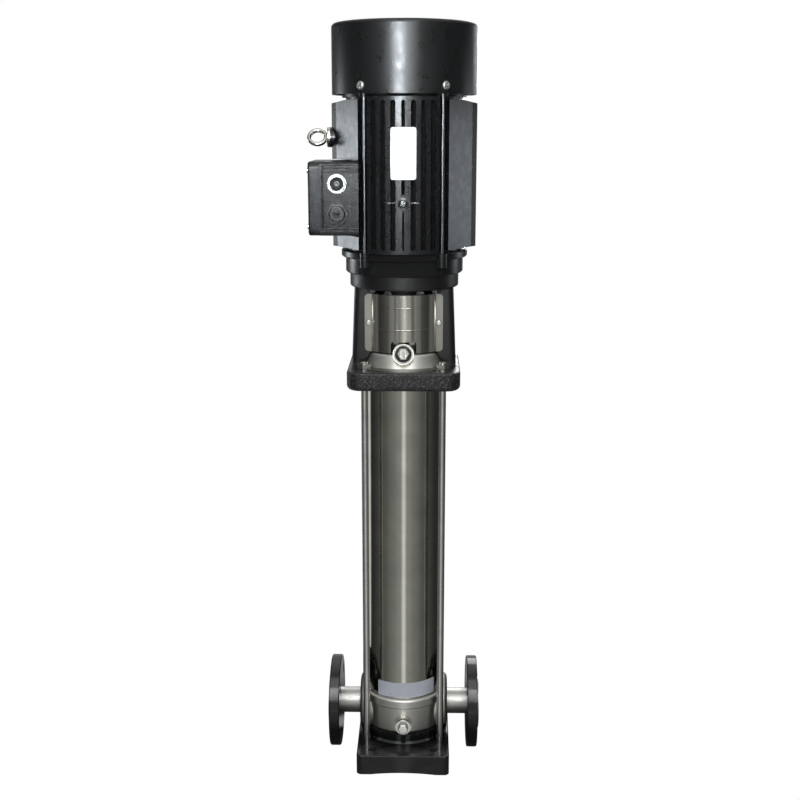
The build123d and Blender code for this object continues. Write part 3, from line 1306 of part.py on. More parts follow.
def stator_core():
    """Laminated ring pressed into the housing, with open winding slots."""
    bottom, top = stator_levels()
    core = ring(STATOR_RADIUS, STATOR_BORE, bottom, top)
    half = STATOR_SLOT / 2
    slot = block(STATOR_BORE - PAST, STATOR_RADIUS - STATOR_YOKE, -half, half, bottom - PAST,
                 top + PAST)
    for step in range(STATOR_SLOTS):
        core -= slot.rotate(Axis.Z, 360 * step / STATOR_SLOTS)
    return core


def stator_windings():
    """Copper end windings above and below the stator stack."""
    bottom, top = stator_levels()
    lower = ring(WINDING_OUTER, WINDING_INNER, bottom - WINDING_LENGTH, bottom)
    upper = ring(WINDING_OUTER, WINDING_INNER, top, top + WINDING_LENGTH)
    return [lower, upper]


def rotor_core():
    """Laminated rotor with cast end rings, on the motor shaft."""
    bottom, top = stator_levels()
    core = rod(STATOR_BORE - AIR_GAP, bottom, top)
    core += rod(STATOR_BORE - END_RING_STEP, bottom - END_RING, top + END_RING)
    bore = BEARING_BORE + SHAFT_SHOULDER + RUN_GAP
    return core - rod(bore, bottom - END_RING - PAST, top + END_RING + PAST)


def cooling_fan():
    """Moulded fan with straight radial blades on a back plate."""
    bottom = Z_SHIELD + END_SHIELD + FAN_ABOVE_SHIELD
    top = bottom + FAN_HEIGHT
    fan = rod(FAN_RADIUS, bottom, bottom + FAN_PLATE)
    fan += rod(FAN_HUB_RADIUS, bottom, top - 2 * FAN_PLATE)
    half = FAN_BLADE / 2
    blade = block(FAN_HUB_RADIUS - PAST, FAN_RADIUS, -half, half, bottom + PAST, top)
    for step in range(FAN_BLADES):
        fan += blade.rotate(Axis.Z, 360 * step / FAN_BLADES)
    return fan - rod(FAN_SHAFT_RADIUS + RUN_GAP, bottom - PAST, top)


def terminal_box():
    """Box open towards the lid, with a ridged front and two cable entries."""
    top = Z_BOX + BOX_HEIGHT
    box = block(-BOX_OUTER_X, -BOX_INNER_X, -BOX_FRONT_Y, BOX_BACK_Y, Z_BOX, top)
    box = fillet(box.edges().filter_by(Axis.X), BOX_CORNER)
    half = RIDGE_SIZE / 2
    levels = [top - RIDGE_TOP - step * RIDGE_PITCH for step in range(3)]
    for level in levels + [Z_BOX + RIDGE_BOTTOM]:
        ridge = block(-BOX_OUTER_X + RIDGE_SIZE, -BOX_INNER_X, -BOX_FRONT_Y - BOX_RIDGE,
                      -BOX_FRONT_Y + BOX_CORNER, level - half, level + half)
        box += fillet(ridge.edges().filter_by(Axis.X).sort_by(Axis.Y)[:2], RIDGE_EDGE)
    upright = block(-BOX_OUTER_X + RIDGE_SIZE, -BOX_OUTER_X + 2 * RIDGE_SIZE,
                    -BOX_FRONT_Y - BOX_RIDGE, -BOX_FRONT_Y + BOX_CORNER,
                    Z_BOX + RIDGE_BOTTOM - half, top - RIDGE_TOP + half)
    box += fillet(upright.edges().filter_by(Axis.Z).sort_by(Axis.Y)[:2], RIDGE_EDGE)
    for drop in (UPPER_GLAND_DROP, LOWER_GLAND_DROP):
        box += along_y(GLAND_BOSS_RADIUS, -BOX_FRONT_Y - GLAND_BOSS, -BOX_FRONT_Y + PAST,
                       -GLAND_X, top - drop)
    box -= rod(BARREL_RADIUS + RING_GAP, Z_BOX - PAST, top + PAST)
    inner = BARREL_RADIUS + BOX_WALL
    cavity = block(-BOX_OUTER_X - PAST, -BOX_INNER_X, -BOX_FRONT_Y + BOX_WALL,
                   BOX_BACK_Y - BOX_WALL, Z_BOX + BOX_WALL, top - BOX_WALL)
    box -= cavity - rod(inner, Z_BOX, top)
    for drop in (UPPER_GLAND_DROP, LOWER_GLAND_DROP):
        box -= along_y(GLAND_THREAD_RADIUS + RUN_GAP, -BOX_FRONT_Y - BOX_WALL,
                       -BOX_FRONT_Y + 2 * BOX_WALL, -GLAND_X, top - drop)
    return box


def lid_block(x0, x1, shrink, radius):
    """A plate with rounded corners, parallel to the lid's plane."""
    y0 = -BOX_FRONT_Y + shrink
    y1 = BOX_BACK_Y - shrink
    plate = block(x0, x1, y0, y1, Z_BOX + shrink, Z_BOX + BOX_HEIGHT - shrink)
    return fillet(plate.edges().filter_by(Axis.X), radius)


def lid_gasket():
    """Soft frame between the terminal box and its lid."""
    frame = lid_block(-BOX_OUTER_X - GASKET, -BOX_OUTER_X, 0, LID_CORNER)
    hole = lid_block(-BOX_OUTER_X - 2 * GASKET, -BOX_OUTER_X + GASKET, BOX_WALL, BOX_CORNER)
    return frame - hole


def lid_points():
    """The four screw centres in the lid's plane."""
    inset = LID_SCREW_INSET
    levels = (Z_BOX + inset, Z_BOX + BOX_HEIGHT - inset)
    return [(y, z) for y in (-BOX_FRONT_Y + inset, BOX_BACK_Y - inset) for z in levels]


def lid_posts(x0, x1):
    """Round posts inside the lid at its four screws."""
    return [along_x(2 * LID_SCREW_RADIUS, x0, x1, y, z) for y, z in lid_points()]


def terminal_lid():
    """Deep cast lid of the terminal box, hollow behind its softened outer face."""
    seat = -BOX_OUTER_X - GASKET
    lid = lid_block(seat - LID_THICKNESS, seat, 0, LID_CORNER)
    lid = fillet(lid.faces().sort_by(Axis.X)[0].edges(), LID_EDGE)
    lid -= lid_block(seat - LID_THICKNESS + BOX_WALL, seat + PAST, BOX_WALL, BOX_CORNER)
    return lid + lid_posts(seat - LID_THICKNESS + BOX_WALL - PAST, seat)


def lid_screws():
    """Four screws at the corners of the lid."""
    face = -BOX_OUTER_X - GASKET - LID_THICKNESS
    return [along_x(LID_SCREW_RADIUS, face - LID_SCREW_RISE, face, y, z) for y, z in lid_points()]


def terminal_block():
    """Insulated block with six studs inside the terminal box."""
    base = -BARREL_RADIUS - BOX_WALL
    face = base - BLOCK_DEPTH
    middle = (BOX_BACK_Y - BOX_FRONT_Y) / 2 + BLOCK_SHIFT
    z = Z_BOX + BOX_HEIGHT / 2
    bar = block(face, base, middle - BLOCK_WIDTH / 2, middle + BLOCK_WIDTH / 2,
                z - BLOCK_HEIGHT / 2, z + BLOCK_HEIGHT / 2)
    for row in (-1, 0, 1):
        for column in (-1, 1):
            y = middle + column * BLOCK_WIDTH / 4
            stud = along_x(STUD_RADIUS, face - STUD_LENGTH, face + PAST, y, z + row * STUD_PITCH)
            bar += stud
    return bar


def cable_gland(drop, radius, length, hexed):
    """Cable gland on the front of the terminal box."""
    z = Z_BOX + BOX_HEIGHT - drop
    face = -BOX_FRONT_Y - GLAND_BOSS
    end = face - length
    gland = along_y(GLAND_THREAD_RADIUS, face, -BOX_FRONT_Y + 2 * BOX_WALL, -GLAND_X, z)
    if hexed:
        nut = extrude(RegularPolygon(radius, 6), length / 2)
        gland += Pos(-GLAND_X, face, z) * Rot(90, 0, 0) * nut
        dome = along_y(radius - BOX_WALL, end, face - PAST, -GLAND_X, z)
        gland += fillet(dome.edges().filter_by(GeomType.CIRCLE).sort_by(Axis.Y)[0], BOX_RIDGE)
    else:
        gland += along_y(radius, end + BOX_WALL, face, -GLAND_X, z)
        gland += along_y(radius - BOX_RIDGE, end, face, -GLAND_X, z)
        gland -= along_y(radius - 2 * BOX_RIDGE, end - PAST, end + BOX_WALL, -GLAND_X, z)
    return gland - along_y(CABLE_RADIUS, end - PAST, 0, -GLAND_X, z)


def eye_bolt():
    """Lifting eye screwed into the housing's side boss."""
    seat = -EYE_BOSS_X
    ring_x = seat - EYE_COLLAR - EYE_RING_RADIUS - EYE_WIRE_RADIUS + EYE_SINK
    loop = Torus(EYE_RING_RADIUS, EYE_WIRE_RADIUS)
    eye = Pos(ring_x, 0, Z_LIFT) * Rot(90 - EYE_TURN, 0, 0) * loop
    collar = along_x(EYE_COLLAR_RADIUS, seat - EYE_COLLAR, seat, 0, Z_LIFT)
    eye += fillet(collar.edges().filter_by(GeomType.CIRCLE).sort_by(Axis.X)[0], EYE_SINK)
    return eye + along_x(EYE_SHANK_RADIUS, seat - PAST, seat + EYE_SHANK, 0, Z_LIFT)


def build():
    """Write every node."""
    os.makedirs("parts", exist_ok=True)
    save("base_plate", base_plate())
    save("base_casing", base_casing())
    save("inlet_stub", port_stub(-1))
    save("outlet_stub", port_stub(1))
    save("inlet_flange", loose_flange(-1))
    save("outlet_flange", loose_flange(1))
    save("drain_plug", drain_plug())
    save("drain_washer", drain_washer())
    save("outer_sleeve", outer_sleeve())
    save("sleeve_seals", *sleeve_seals())
    save("tie_rods", *tie_rods())
    save("tie_rod_washers", *tie_rod_washers())
    save("tie_rod_nuts", *tie_rod_nuts())
    save("pump_head", pump_head())
    save("vent_plug", vent_plug())
    save("vent_screw", vent_screw())
    save("motor_stool", motor_stool())
    save("front_guard", coupling_guard(-1))
    save("rear_guard", coupling_guard(1))
    save("guard_screws", *guard_screws())
    save("coupling_half_front", coupling_half(-1))
    save("coupling_half_rear", coupling_half(1))
    save("coupling_bolts", *coupling_bolts())
    save("shaft_pin", shaft_pin())
    save("pump_shaft", pump_shaft())
    save("impellers", *stage_copies(impeller()))
    save("stage_chambers", *stage_copies(chamber()))
    save("suction_chamber", suction_chamber())
    save("top_chamber", top_chamber())
    save("stack_straps", *stack_straps())
    save("shaft_bearing", shaft_bearing())
    save("bearing_sleeve", bearing_sleeve())
    save("shaft_nut", shaft_nut())
    save("seal_plate", seal_plate())
    save("seal_screws", *seal_screws())
    save("seal_seat", seal_seat())
    save("seal_head", seal_head())
    save("motor_flange", motor_flange())
    save("motor_bolts", *motor_bolts())
    save("motor_housing", motor_housing())
    save("end_shield", end_shield())
    save("through_bolts", *through_bolts())
    save("fan_cover", fan_cover())
    save("cover_screws", *cover_screws())
    save("bearing_outer_rings", *bearing_outer_rings())
    save("bearing_inner_rings", *bearing_inner_rings())
    save("motor_shaft", motor_shaft())
    save("stator_core", stator_core())
    save("stator_windings", *stator_windings())
    save("rotor_core", rotor_core())
    save("cooling_fan", cooling_fan())
    save("terminal_box", terminal_box())
    save("lid_gasket", lid_gasket())
    save("terminal_lid", terminal_lid())
    save("lid_screws", *lid_screws())
    save("terminal_block", terminal_block())
    save("upper_gland", cable_gland(UPPER_GLAND_DROP, UPPER_GLAND_RADIUS, UPPER_GLAND_LENGTH, False))
    save("lower_gland", cable_gland(LOWER_GLAND_DROP, LOWER_GLAND_RADIUS, LOWER_GLAND_LENGTH, True))
    save("eye_bolt", eye_bolt())


build()
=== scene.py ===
import json
import math

import bmesh
import bpy
from mathutils import Matrix, Vector


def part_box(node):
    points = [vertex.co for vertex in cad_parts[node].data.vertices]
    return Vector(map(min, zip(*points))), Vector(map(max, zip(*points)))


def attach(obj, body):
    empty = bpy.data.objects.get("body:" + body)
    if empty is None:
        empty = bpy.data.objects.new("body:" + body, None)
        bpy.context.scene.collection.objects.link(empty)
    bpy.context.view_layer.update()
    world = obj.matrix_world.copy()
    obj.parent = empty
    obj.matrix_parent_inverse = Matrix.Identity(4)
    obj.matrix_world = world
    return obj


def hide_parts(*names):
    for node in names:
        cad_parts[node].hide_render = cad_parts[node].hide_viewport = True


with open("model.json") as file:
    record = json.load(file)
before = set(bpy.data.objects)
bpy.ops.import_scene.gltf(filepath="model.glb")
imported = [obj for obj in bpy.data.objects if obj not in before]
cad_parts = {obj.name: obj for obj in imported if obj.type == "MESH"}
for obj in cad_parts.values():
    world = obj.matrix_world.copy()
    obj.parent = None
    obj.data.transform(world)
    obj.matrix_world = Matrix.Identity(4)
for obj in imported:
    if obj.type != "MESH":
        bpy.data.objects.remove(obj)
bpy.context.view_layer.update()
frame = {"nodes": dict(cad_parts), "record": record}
NODES = frame["nodes"]
MM = 0.001

# The camera, as fitted to the photograph
LENS = 52.44
SENSOR_WIDTH = 36.0
CAMERA_AT = Vector((34.0, -1810.7, 1022.6)) * MM
PITCH = math.radians(13.2)
YAW = math.radians(1.29)

# The colour sockets of a Mix node: its two inputs and its output
MIX_FIRST, MIX_SECOND, MIX_RESULT = 6, 7, 2


def new_object(name, data):
    """Link a mesh, a camera or a light into the scene as an object."""
    obj = bpy.data.objects.new(name, data)
    bpy.context.scene.collection.objects.link(obj)
    return obj


def look_along(obj, ahead):
    """Turn a camera or a light to face along a direction, with its top up."""
    obj.rotation_mode = "QUATERNION"
    obj.rotation_quaternion = ahead.to_track_quat("-Z", "Y")


def make_camera():
    """The photograph's viewpoint, with the horizon level."""
    data = bpy.data.cameras.new("camera")
    data.lens = LENS
    data.sensor_width = SENSOR_WIDTH
    camera = new_object("camera", data)
    camera.location = CAMERA_AT
    level = math.cos(PITCH)
    look_along(camera, Vector((-math.sin(YAW) * level, math.cos(YAW) * level, -math.sin(PITCH))))
    bpy.context.scene.camera = camera


def scaled(colour, factor):
    """A colour made darker, or lighter up to white."""
    return tuple(min(1.0, factor * c) for c in colour)


def vector_maths(tree, operation, *values):
    """The result of a vector node that is fed with sockets and plain vectors."""
    made = tree.nodes.new("ShaderNodeVectorMath")
    made.operation = operation
    for socket, value in zip(made.inputs, values):
        if isinstance(value, tuple):
            socket.default_value = value
        else:
            tree.links.new(value, socket)
    return made.outputs["Value" if operation in ("DOT_PRODUCT", "LENGTH") else "Vector"]


def flattened(tree, coords):
    """Coordinates with the height left out."""
    return vector_maths(tree, "MULTIPLY", coords, (1, 1, 0))


class Shader:
    """A small builder for one node material."""

    def __init__(self, name):
        self.material = bpy.data.materials.new(name)
        self.material.use_nodes = True
        self.tree = self.material.node_tree
        self.bsdf = self.tree.nodes["Principled BSDF"]
        self.coords = self.node("ShaderNodeTexCoord").outputs["Object"]

    def node(self, kind, **values):
        """Add a node and set its attributes."""
        made = self.tree.nodes.new(kind)
        for key, value in values.items():
            setattr(made, key, value)
        return made

    def link(self, out, into):
        """Join two sockets."""
        self.tree.links.new(out, into)

    def feed(self, name, value):
        """Link a value into one of the shader's own sockets."""
        self.link(value, self.bsdf.inputs[name])

    def set(self, **values):
        """Set plain values on the shader's own sockets."""
        for key, value in values.items():
            self.bsdf.inputs[key.replace("_", " ")].default_value = value

    def maths(self, operation, *values):
        """The result of a node that works on one or two values."""
        made = self.node("ShaderNodeMath", operation=operation)
        for socket, value in zip(made.inputs, values):
            self.link(value, socket)
        return made.outputs[0]

    def axis(self, letter):
        """One of the object coordinates."""
        parts = self.node("ShaderNodeSeparateXYZ")
        self.link(self.coords, parts.inputs[0])
        return parts.outputs[letter]

    def stretched(self, scale):
        """Object coordinates scaled by a vector."""
        mapping = self.node("ShaderNodeMapping")
        mapping.inputs["Scale"].default_value = scale
        self.link(self.coords, mapping.inputs["Vector"])
        return mapping.outputs["Vector"]

    def noise(self, size, detail=2.0, stretch=(1, 1, 1), rough=0.5):
        """Noise whose features are about size metres across."""
        noise = self.node("ShaderNodeTexNoise")
        noise.inputs["Scale"].default_value = 1.0
        noise.inputs["Detail"].default_value = detail
        noise.inputs["Roughness"].default_value = rough
        self.link(self.stretched([s / size for s in stretch]), noise.inputs["Vector"])
        return noise.outputs["Fac"]

    def spread(self, value, low=0.0, high=1.0, source=(0.3, 0.7)):
        """Map a value from a source range onto another range, clamped."""
        ranged = self.node("ShaderNodeMapRange")
        ranged.inputs["From Min"].default_value = source[0]
        ranged.inputs["From Max"].default_value = source[1]
        ranged.inputs["To Min"].default_value = low
        ranged.inputs["To Max"].default_value = high
        self.link(value, ranged.inputs["Value"])
        return ranged.outputs["Result"]

    def mix(self, factor, first, second):
        """A colour between two colours, each a socket or a plain colour."""
        mixed = self.node("ShaderNodeMix", data_type="RGBA")
        self.link(factor, mixed.inputs["Factor"])
        for place, value in ((MIX_FIRST, first), (MIX_SECOND, second)):
            if isinstance(value, tuple):
                mixed.inputs[place].default_value = (*value, 1.0)
            else:
                self.link(value, mixed.inputs[place])
        return mixed.outputs[MIX_RESULT]

    def clouded(self, colour, shade, size, stretch=(1, 1, 1)):
        """A colour that drifts in soft clouds between a darker shade and itself."""
        clouds = self.spread(self.noise(size, 4.0, stretch))
        return self.mix(clouds, scaled(colour, shade), colour)

    def drifting(self, mean, low, high, size):
        """A value that drifts between two shares of its mean."""
        return self.spread(self.noise(size, 3.0), mean * low, mean * high)

    def edge_wear_and_highlight(self):
        """A mask of the convex edges, where paint is thin and worn and where a highlight is
        painted.
        """
        geometry = self.node("ShaderNodeNewGeometry")
        return self.spread(geometry.outputs["Pointiness"], source=(0.52, 0.62))

    def bump(self, *layers):
        """Stack height layers of (value, depth in metres) into the normal."""
        normal = None
        for value, depth in layers:
            bump = self.node("ShaderNodeBump")
            bump.inputs["Strength"].default_value = 1.0
            bump.inputs["Distance"].default_value = depth
            self.link(value, bump.inputs["Height"])
            if normal is not None:
                self.link(normal, bump.inputs["Normal"])
            normal = bump.outputs["Normal"]
        self.feed("Normal", normal)


def paint(name, colour, roughness, grain, depth, edge=None, gloss=0.5):
    """Paint over metal: fine surface grain, uneven gloss and, given a colour, lighter convex
    edges, partly worn paint and partly a painted highlight.
    """
    shader = Shader(name)
    base = shader.clouded(colour, shade=0.72, size=0.05)
    if edge:
        # Painted highlight, partly real wear: convex edges lightened toward the edge colour
        base = shader.mix(shader.edge_wear_and_highlight(), base, edge)
    shader.feed("Base Color", base)
    shader.set(Specular_IOR_Level=gloss)
    shader.feed("Roughness", shader.drifting(roughness, 0.85, 1.2, size=0.012))
    shader.bump((shader.noise(grain), depth), (shader.noise(grain * 6, 1.0), depth * 1.5))
    return shader.material


# Soft borders on the motor, in metres: where the grooves, darkened with painted shade, end below
# the fins' tips, from the axis, and where the side pads begin, from the middle
GROOVE_BORDER = (0.0990, 0.1030)
PAD_BORDER = (0.060, 0.062)


def motor_paint(name, colour, roughness):
    """Black paint, glossy on the fins' tips and matt in the grooves between them, which are
    darkened with painted shade.
    """
    shader = Shader(name)
    radius = vector_maths(shader.tree, "LENGTH", flattened(shader.tree, shader.coords))
    aside = shader.maths("ABSOLUTE", shader.axis("X"))
    shaded_groove = shader.maths("MULTIPLY", shader.spread(radius, 1.0, 0.0, GROOVE_BORDER),
                          shader.spread(aside, 1.0, 0.0, PAD_BORDER))
    base = shader.clouded(colour, shade=0.72, size=0.05)
    # Painted shade: the grooves' colour is darkened to a fifth, standing in for the shade between
    # the fins
    shader.feed("Base Color", shader.mix(shaded_groove, base, scaled(colour, 0.2)))
    shader.set(Specular_IOR_Level=0.42)
    uneven = shader.drifting(roughness, 0.92, 1.1, size=0.012)
    matt = shader.spread(shaded_groove, 0.0, 0.95, (0.0, 1.0))
    shader.feed("Roughness", shader.maths("MAXIMUM", uneven, matt))
    shader.bump((shader.noise(0.0018), 0.000004))
    return shader.material


# The stool's flange ends between these levels, in metres, and its pits wear down to this colour
CAST_BORDER = (0.662, 0.668)
CAST_WEAR = (0.085, 0.085, 0.08)


def rough_cast(name, colour, roughness):
    """Satin black paint over a sand casting, pitted and worn on the flange."""
    shader = Shader(name)
    base = shader.clouded(colour, shade=0.7, size=0.03)
    band = shader.spread(shader.axis("Z"), 1.0, 0.0, CAST_BORDER)
    pits = shader.spread(shader.noise(0.0026, 3.0, rough=0.7), source=(0.52, 0.66))
    worn = shader.maths("MULTIPLY", band, pits)
    shader.feed("Base Color", shader.mix(worn, base, CAST_WEAR))
    shader.feed("Roughness", shader.drifting(roughness, 0.8, 1.2, size=0.008))
    coarse = shader.maths("MULTIPLY", band, shader.noise(0.0032, 3.0, rough=0.6))
    shader.bump((coarse, 0.0011), (shader.noise(0.0012), 0.00012))
    return shader.material


def steel(name, colour, roughness, stretch=(1, 1, 1), grain=0.0008, depth=0.00001, waves=0.0):
    """Bare metal with a directional or cast grain, slight staining and, on sheet, soft waves."""
    shader = Shader(name)
    shader.feed("Base Color", shader.clouded(colour, shade=0.82, size=0.04))
    shader.set(Metallic=1.0)
    lines = shader.noise(grain, 3.0, stretch, 0.65)
    shader.feed("Roughness", shader.spread(lines, roughness * 0.75, roughness * 1.25))
    layers = [(lines, depth)]
    if waves:
        layers.insert(0, (shader.noise(0.09, 2.0, (1, 1, 0.35)), waves))
    shader.bump(*layers)
    return shader.material


# Borders on the coupling guards, in metres from the middle: where the flat wings begin, where a
# darker band of painted reflection on the bow begins and ends, and where the bow's painted
# highlight edge begins
WING_BORDER = (0.0478, 0.0486)
REFLECTION_BAND_BEGINS = (0.026, 0.030)
REFLECTION_BAND_ENDS = (0.036, 0.039)
HIGHLIGHT_BORDER = (0.038, 0.041)
UPRIGHT = (1, 0.1, 0.02)


def guard_steel(name, colour):
    """Bent stainless sheet, rippled up and down, with matt flat wings darkened as painted shade,
    and painted reflection bands and a painted highlight along the bow's edge.
    """
    shader = Shader(name)
    shader.set(Metallic=1.0)
    aside = shader.maths("ABSOLUTE", shader.axis("X"))
    wing = shader.spread(aside, source=WING_BORDER)
    shader.feed("Roughness", shader.spread(wing, 0.22, 0.5, (0.0, 1.0)))
    base = shader.clouded(colour, shade=0.8, size=0.02, stretch=(1, 1, 0.2))
    # Painted reflection: upright streaks darken the bow's colour
    reflection_streaks = shader.spread(shader.noise(0.008, 1.0, UPRIGHT), source=(0.42, 0.62))
    base = shader.mix(reflection_streaks, base, scaled(colour, 0.45))
    # Painted reflection: a darker band across the bow
    band = shader.maths("MULTIPLY", shader.spread(aside, source=REFLECTION_BAND_BEGINS),
                        shader.spread(aside, 1.0, 0.0, REFLECTION_BAND_ENDS))
    base = shader.mix(band, base, scaled(colour, 0.42))
    # Painted highlight: the bow's edge lightened
    base = shader.mix(shader.spread(aside, source=HIGHLIGHT_BORDER), base, scaled(colour, 1.7))
    # Painted shade: the wings darkened to half
    shader.feed("Base Color", shader.mix(wing, base, scaled(colour, 0.5)))
    ripple = shader.noise(0.011, 1.0, UPRIGHT)
    lines = shader.noise(0.0008, 3.0, (1, 1, 0.03), 0.65)
    shader.bump((ripple, 0.0006), (lines, 0.00001))
    return shader.material


def plain(name, colour, roughness, grain=0.0006, depth=0.00002):
    """Moulded plastic, rubber or film with a fine matt grain."""
    shader = Shader(name)
    tone = shader.spread(shader.noise(0.02, 3.0))
    shader.feed("Base Color", shader.mix(tone, colour, scaled(colour, 1.12)))
    shader.set(Roughness=roughness)
    shader.bump((shader.noise(grain), depth))
    return shader.material


def windings(name, dark, light):
    """Varnished copper wire, wound round the axis."""
    shader = Shader(name)
    strands = shader.noise(0.0012, 1.0, (1, 1, 6))
    shader.feed("Base Color", shader.mix(shader.spread(strands), dark, light))
    shader.set(Metallic=0.8, Roughness=0.35, Coat_Weight=0.4)
    shader.bump((strands, 0.0002))
    return shader.material


# The way a grain runs: along the vertical axis, or round it
BRUSHED_UP = (1, 1, 0.03)
BRUSHED_ROUND = (0.05, 0.05, 1)
# How each finish is made: its maker and what the maker is told. The last three are the blank
# plates and films, which the record has no slot for; the others have the names of its slots.
FINISHES = {
    "base_paint": (paint, dict(colour=(0.004, 0.0045, 0.005), roughness=0.14, grain=0.0016,
                               depth=0.00002, edge=(0.03, 0.03, 0.032))),
    "stool_paint": (rough_cast, dict(colour=(0.006, 0.0061, 0.006), roughness=0.36)),
    "motor_paint": (motor_paint, dict(colour=(0.005, 0.0057, 0.0068), roughness=0.28)),
    "cover_paint": (paint, dict(colour=(0.005, 0.0055, 0.0058), roughness=0.31, grain=0.0012,
                                depth=0.00002)),
    "box_paint": (paint, dict(colour=(0.006, 0.0068, 0.008), roughness=0.27, grain=0.0011,
                              depth=0.00005, edge=(0.022, 0.023, 0.025), gloss=0.27)),
    "flange_paint": (paint, dict(colour=(0.004, 0.0043, 0.0046), roughness=0.14, grain=0.0014,
                                 depth=0.00002, edge=(0.008, 0.008, 0.008), gloss=0.55)),
    "cast_stainless": (steel, dict(colour=(0.70, 0.69, 0.64), roughness=0.36, grain=0.0007,
                                   depth=0.00004)),
    "stub_stainless": (steel, dict(colour=(0.58, 0.575, 0.55), roughness=0.42,
                                   stretch=BRUSHED_ROUND)),
    "polished_stainless": (steel, dict(colour=(0.47, 0.46, 0.405), roughness=0.10,
                                       stretch=BRUSHED_UP, depth=0.000003, waves=0.00012)),
    "guard_stainless": (guard_steel, dict(colour=(0.56, 0.54, 0.48))),
    "rod_steel": (steel, dict(colour=(0.60, 0.595, 0.56), roughness=0.24, stretch=BRUSHED_UP)),
    "zinc_steel": (steel, dict(colour=(0.60, 0.595, 0.56), roughness=0.13)),
    "black_steel": (steel, dict(colour=(0.16, 0.165, 0.17), roughness=0.32)),
    "seal_rubber": (plain, dict(colour=(0.004, 0.004, 0.004), roughness=0.6)),
    "coupling_iron": (steel, dict(colour=(0.07, 0.07, 0.075), roughness=0.45)),
    "shaft_steel": (steel, dict(colour=(0.66, 0.66, 0.65), roughness=0.2, stretch=BRUSHED_ROUND)),
    "pressed_stainless": (steel, dict(colour=(0.56, 0.56, 0.54), roughness=0.28)),
    "hard_ring": (steel, dict(colour=(0.1, 0.1, 0.11), roughness=0.2)),
    "bearing_steel": (steel, dict(colour=(0.72, 0.72, 0.73), roughness=0.12)),
    "lamination": (steel, dict(colour=(0.22, 0.22, 0.24), roughness=0.45, stretch=BRUSHED_ROUND)),
    "copper": (windings, dict(dark=(0.24, 0.07, 0.025), light=(0.62, 0.24, 0.09))),
    "fan_plastic": (plain, dict(colour=(0.014, 0.014, 0.014), roughness=0.5)),
    "gland_metal": (steel, dict(colour=(0.23, 0.235, 0.24), roughness=0.22)),
    "gland_plastic": (plain, dict(colour=(0.003, 0.003, 0.0035), roughness=0.24)),
    "plate_white": (plain, dict(colour=(0.80, 0.81, 0.82), roughness=0.45, grain=0.004)),
    "film_grey": (plain, dict(colour=(0.62, 0.63, 0.65), roughness=0.4, grain=0.002,
                              depth=0.00004)),
    "label_film": (plain, dict(colour=(0.42, 0.44, 0.50), roughness=0.35, grain=0.004)),
}


def make_materials():
    """One material for each finish."""
    return {name: maker(name, **told) for name, (maker, told) in FINISHES.items()}


def dress_nodes(materials):
    """Give every CAD node the material of its slot."""
    for row in frame["record"]["subparts"]:
        obj = NODES[row["node"]]
        obj.data.materials.clear()
        obj.data.materials.append(materials[row["material_slot"]])


# What the metal reflects: how bright the room is, by the cosine of the angle from the front
GLOW = ((-1.0, 0.50), (-0.97, 0.30), (-0.85, 0.10), (-0.5, 0.045), (-0.2, 0.045), (0.37, 0.12),
        (0.64, 0.19), (0.9, 0.34), (1.0, 0.50))
# The floor glows with a brighter painted stripe straight in front, seen in the sleeve
FLOOR_GLOW = GLOW[:-1] + ((0.985, 0.47), (0.9978, 0.50), (0.9990, 1.15), (1.0, 1.25))
GLOW_TINT = (0.98, 1.0, 1.0)
# Overhead light, by the cosine of the angle from straight up
ZENITH_GLOW = ((-1.0, 0.0), (0.35, 0.0), (0.8, 0.5), (1.0, 0.5))
# A bright card painted as glow on the floor to the left, seen in the edges of the rods, by the
# cosine of the angle from its direction
CARD_DIRECTION = (-0.848, 0.530, 0)
CARD_GLOW = ((-1.0, 0.0), (0.985, 0.0), (0.996, 1.1), (1.0, 1.1))
# The floor's glow close to the pump is dimmed as a painted shadow, up to a soft border in metres
# from the axis
SHADOW_BORDER = (0.16, 0.25)
SHADOW_LEVEL = 0.3
FLOOR_SIZE = 30.0
WHITE = (1, 1, 1)
TO_FRONT = (0, -1, 0)
UP = (0, 0, 1)


def scaled_glow(level):
    """The tint of the room at a brightness, which may pass 1."""
    return tuple(level * tint for tint in GLOW_TINT)


def ramp_of(tree, value, levels):
    """A brightness by a cosine, from -1 to 1."""
    shift = tree.nodes.new("ShaderNodeMapRange")
    shift.inputs["From Min"].default_value = -1.0
    shift.inputs["From Max"].default_value = 1.0
    tree.links.new(value, shift.inputs["Value"])
    ramp = tree.nodes.new("ShaderNodeValToRGB")
    stops = ramp.color_ramp.elements
    while len(stops) < len(levels):
        stops.new(0.5)

    # The places come first, and the colours in a second round, once every stop is in place
    for stop, (cosine, level) in zip(stops, levels):
        stop.position = (cosine + 1) / 2
    for stop, (cosine, level) in zip(stops, levels):
        stop.color = (*scaled_glow(level), 1)
    tree.links.new(shift.outputs["Result"], ramp.inputs["Fac"])
    return ramp.outputs["Color"]


def facing(tree, direction, toward):
    """The cosine between a direction and a fixed one."""
    return vector_maths(tree, "DOT_PRODUCT", direction, toward)


def room_glow(tree, coords, levels):
    """The room's brightness and the direction it was read in, round the vertical axis."""
    direction = vector_maths(tree, "NORMALIZE", flattened(tree, coords))
    return ramp_of(tree, facing(tree, direction, TO_FRONT), levels), direction


def camera_split(tree, seen, reflected, target):
    """Show one shader to the camera and another to every other ray."""
    path = tree.nodes.new("ShaderNodeLightPath")
    both = tree.nodes.new("ShaderNodeMixShader")
    tree.links.new(path.outputs["Is Camera Ray"], both.inputs["Fac"])
    tree.links.new(reflected, both.inputs[1])
    tree.links.new(seen, both.inputs[2])
    tree.links.new(both.outputs[0], target)


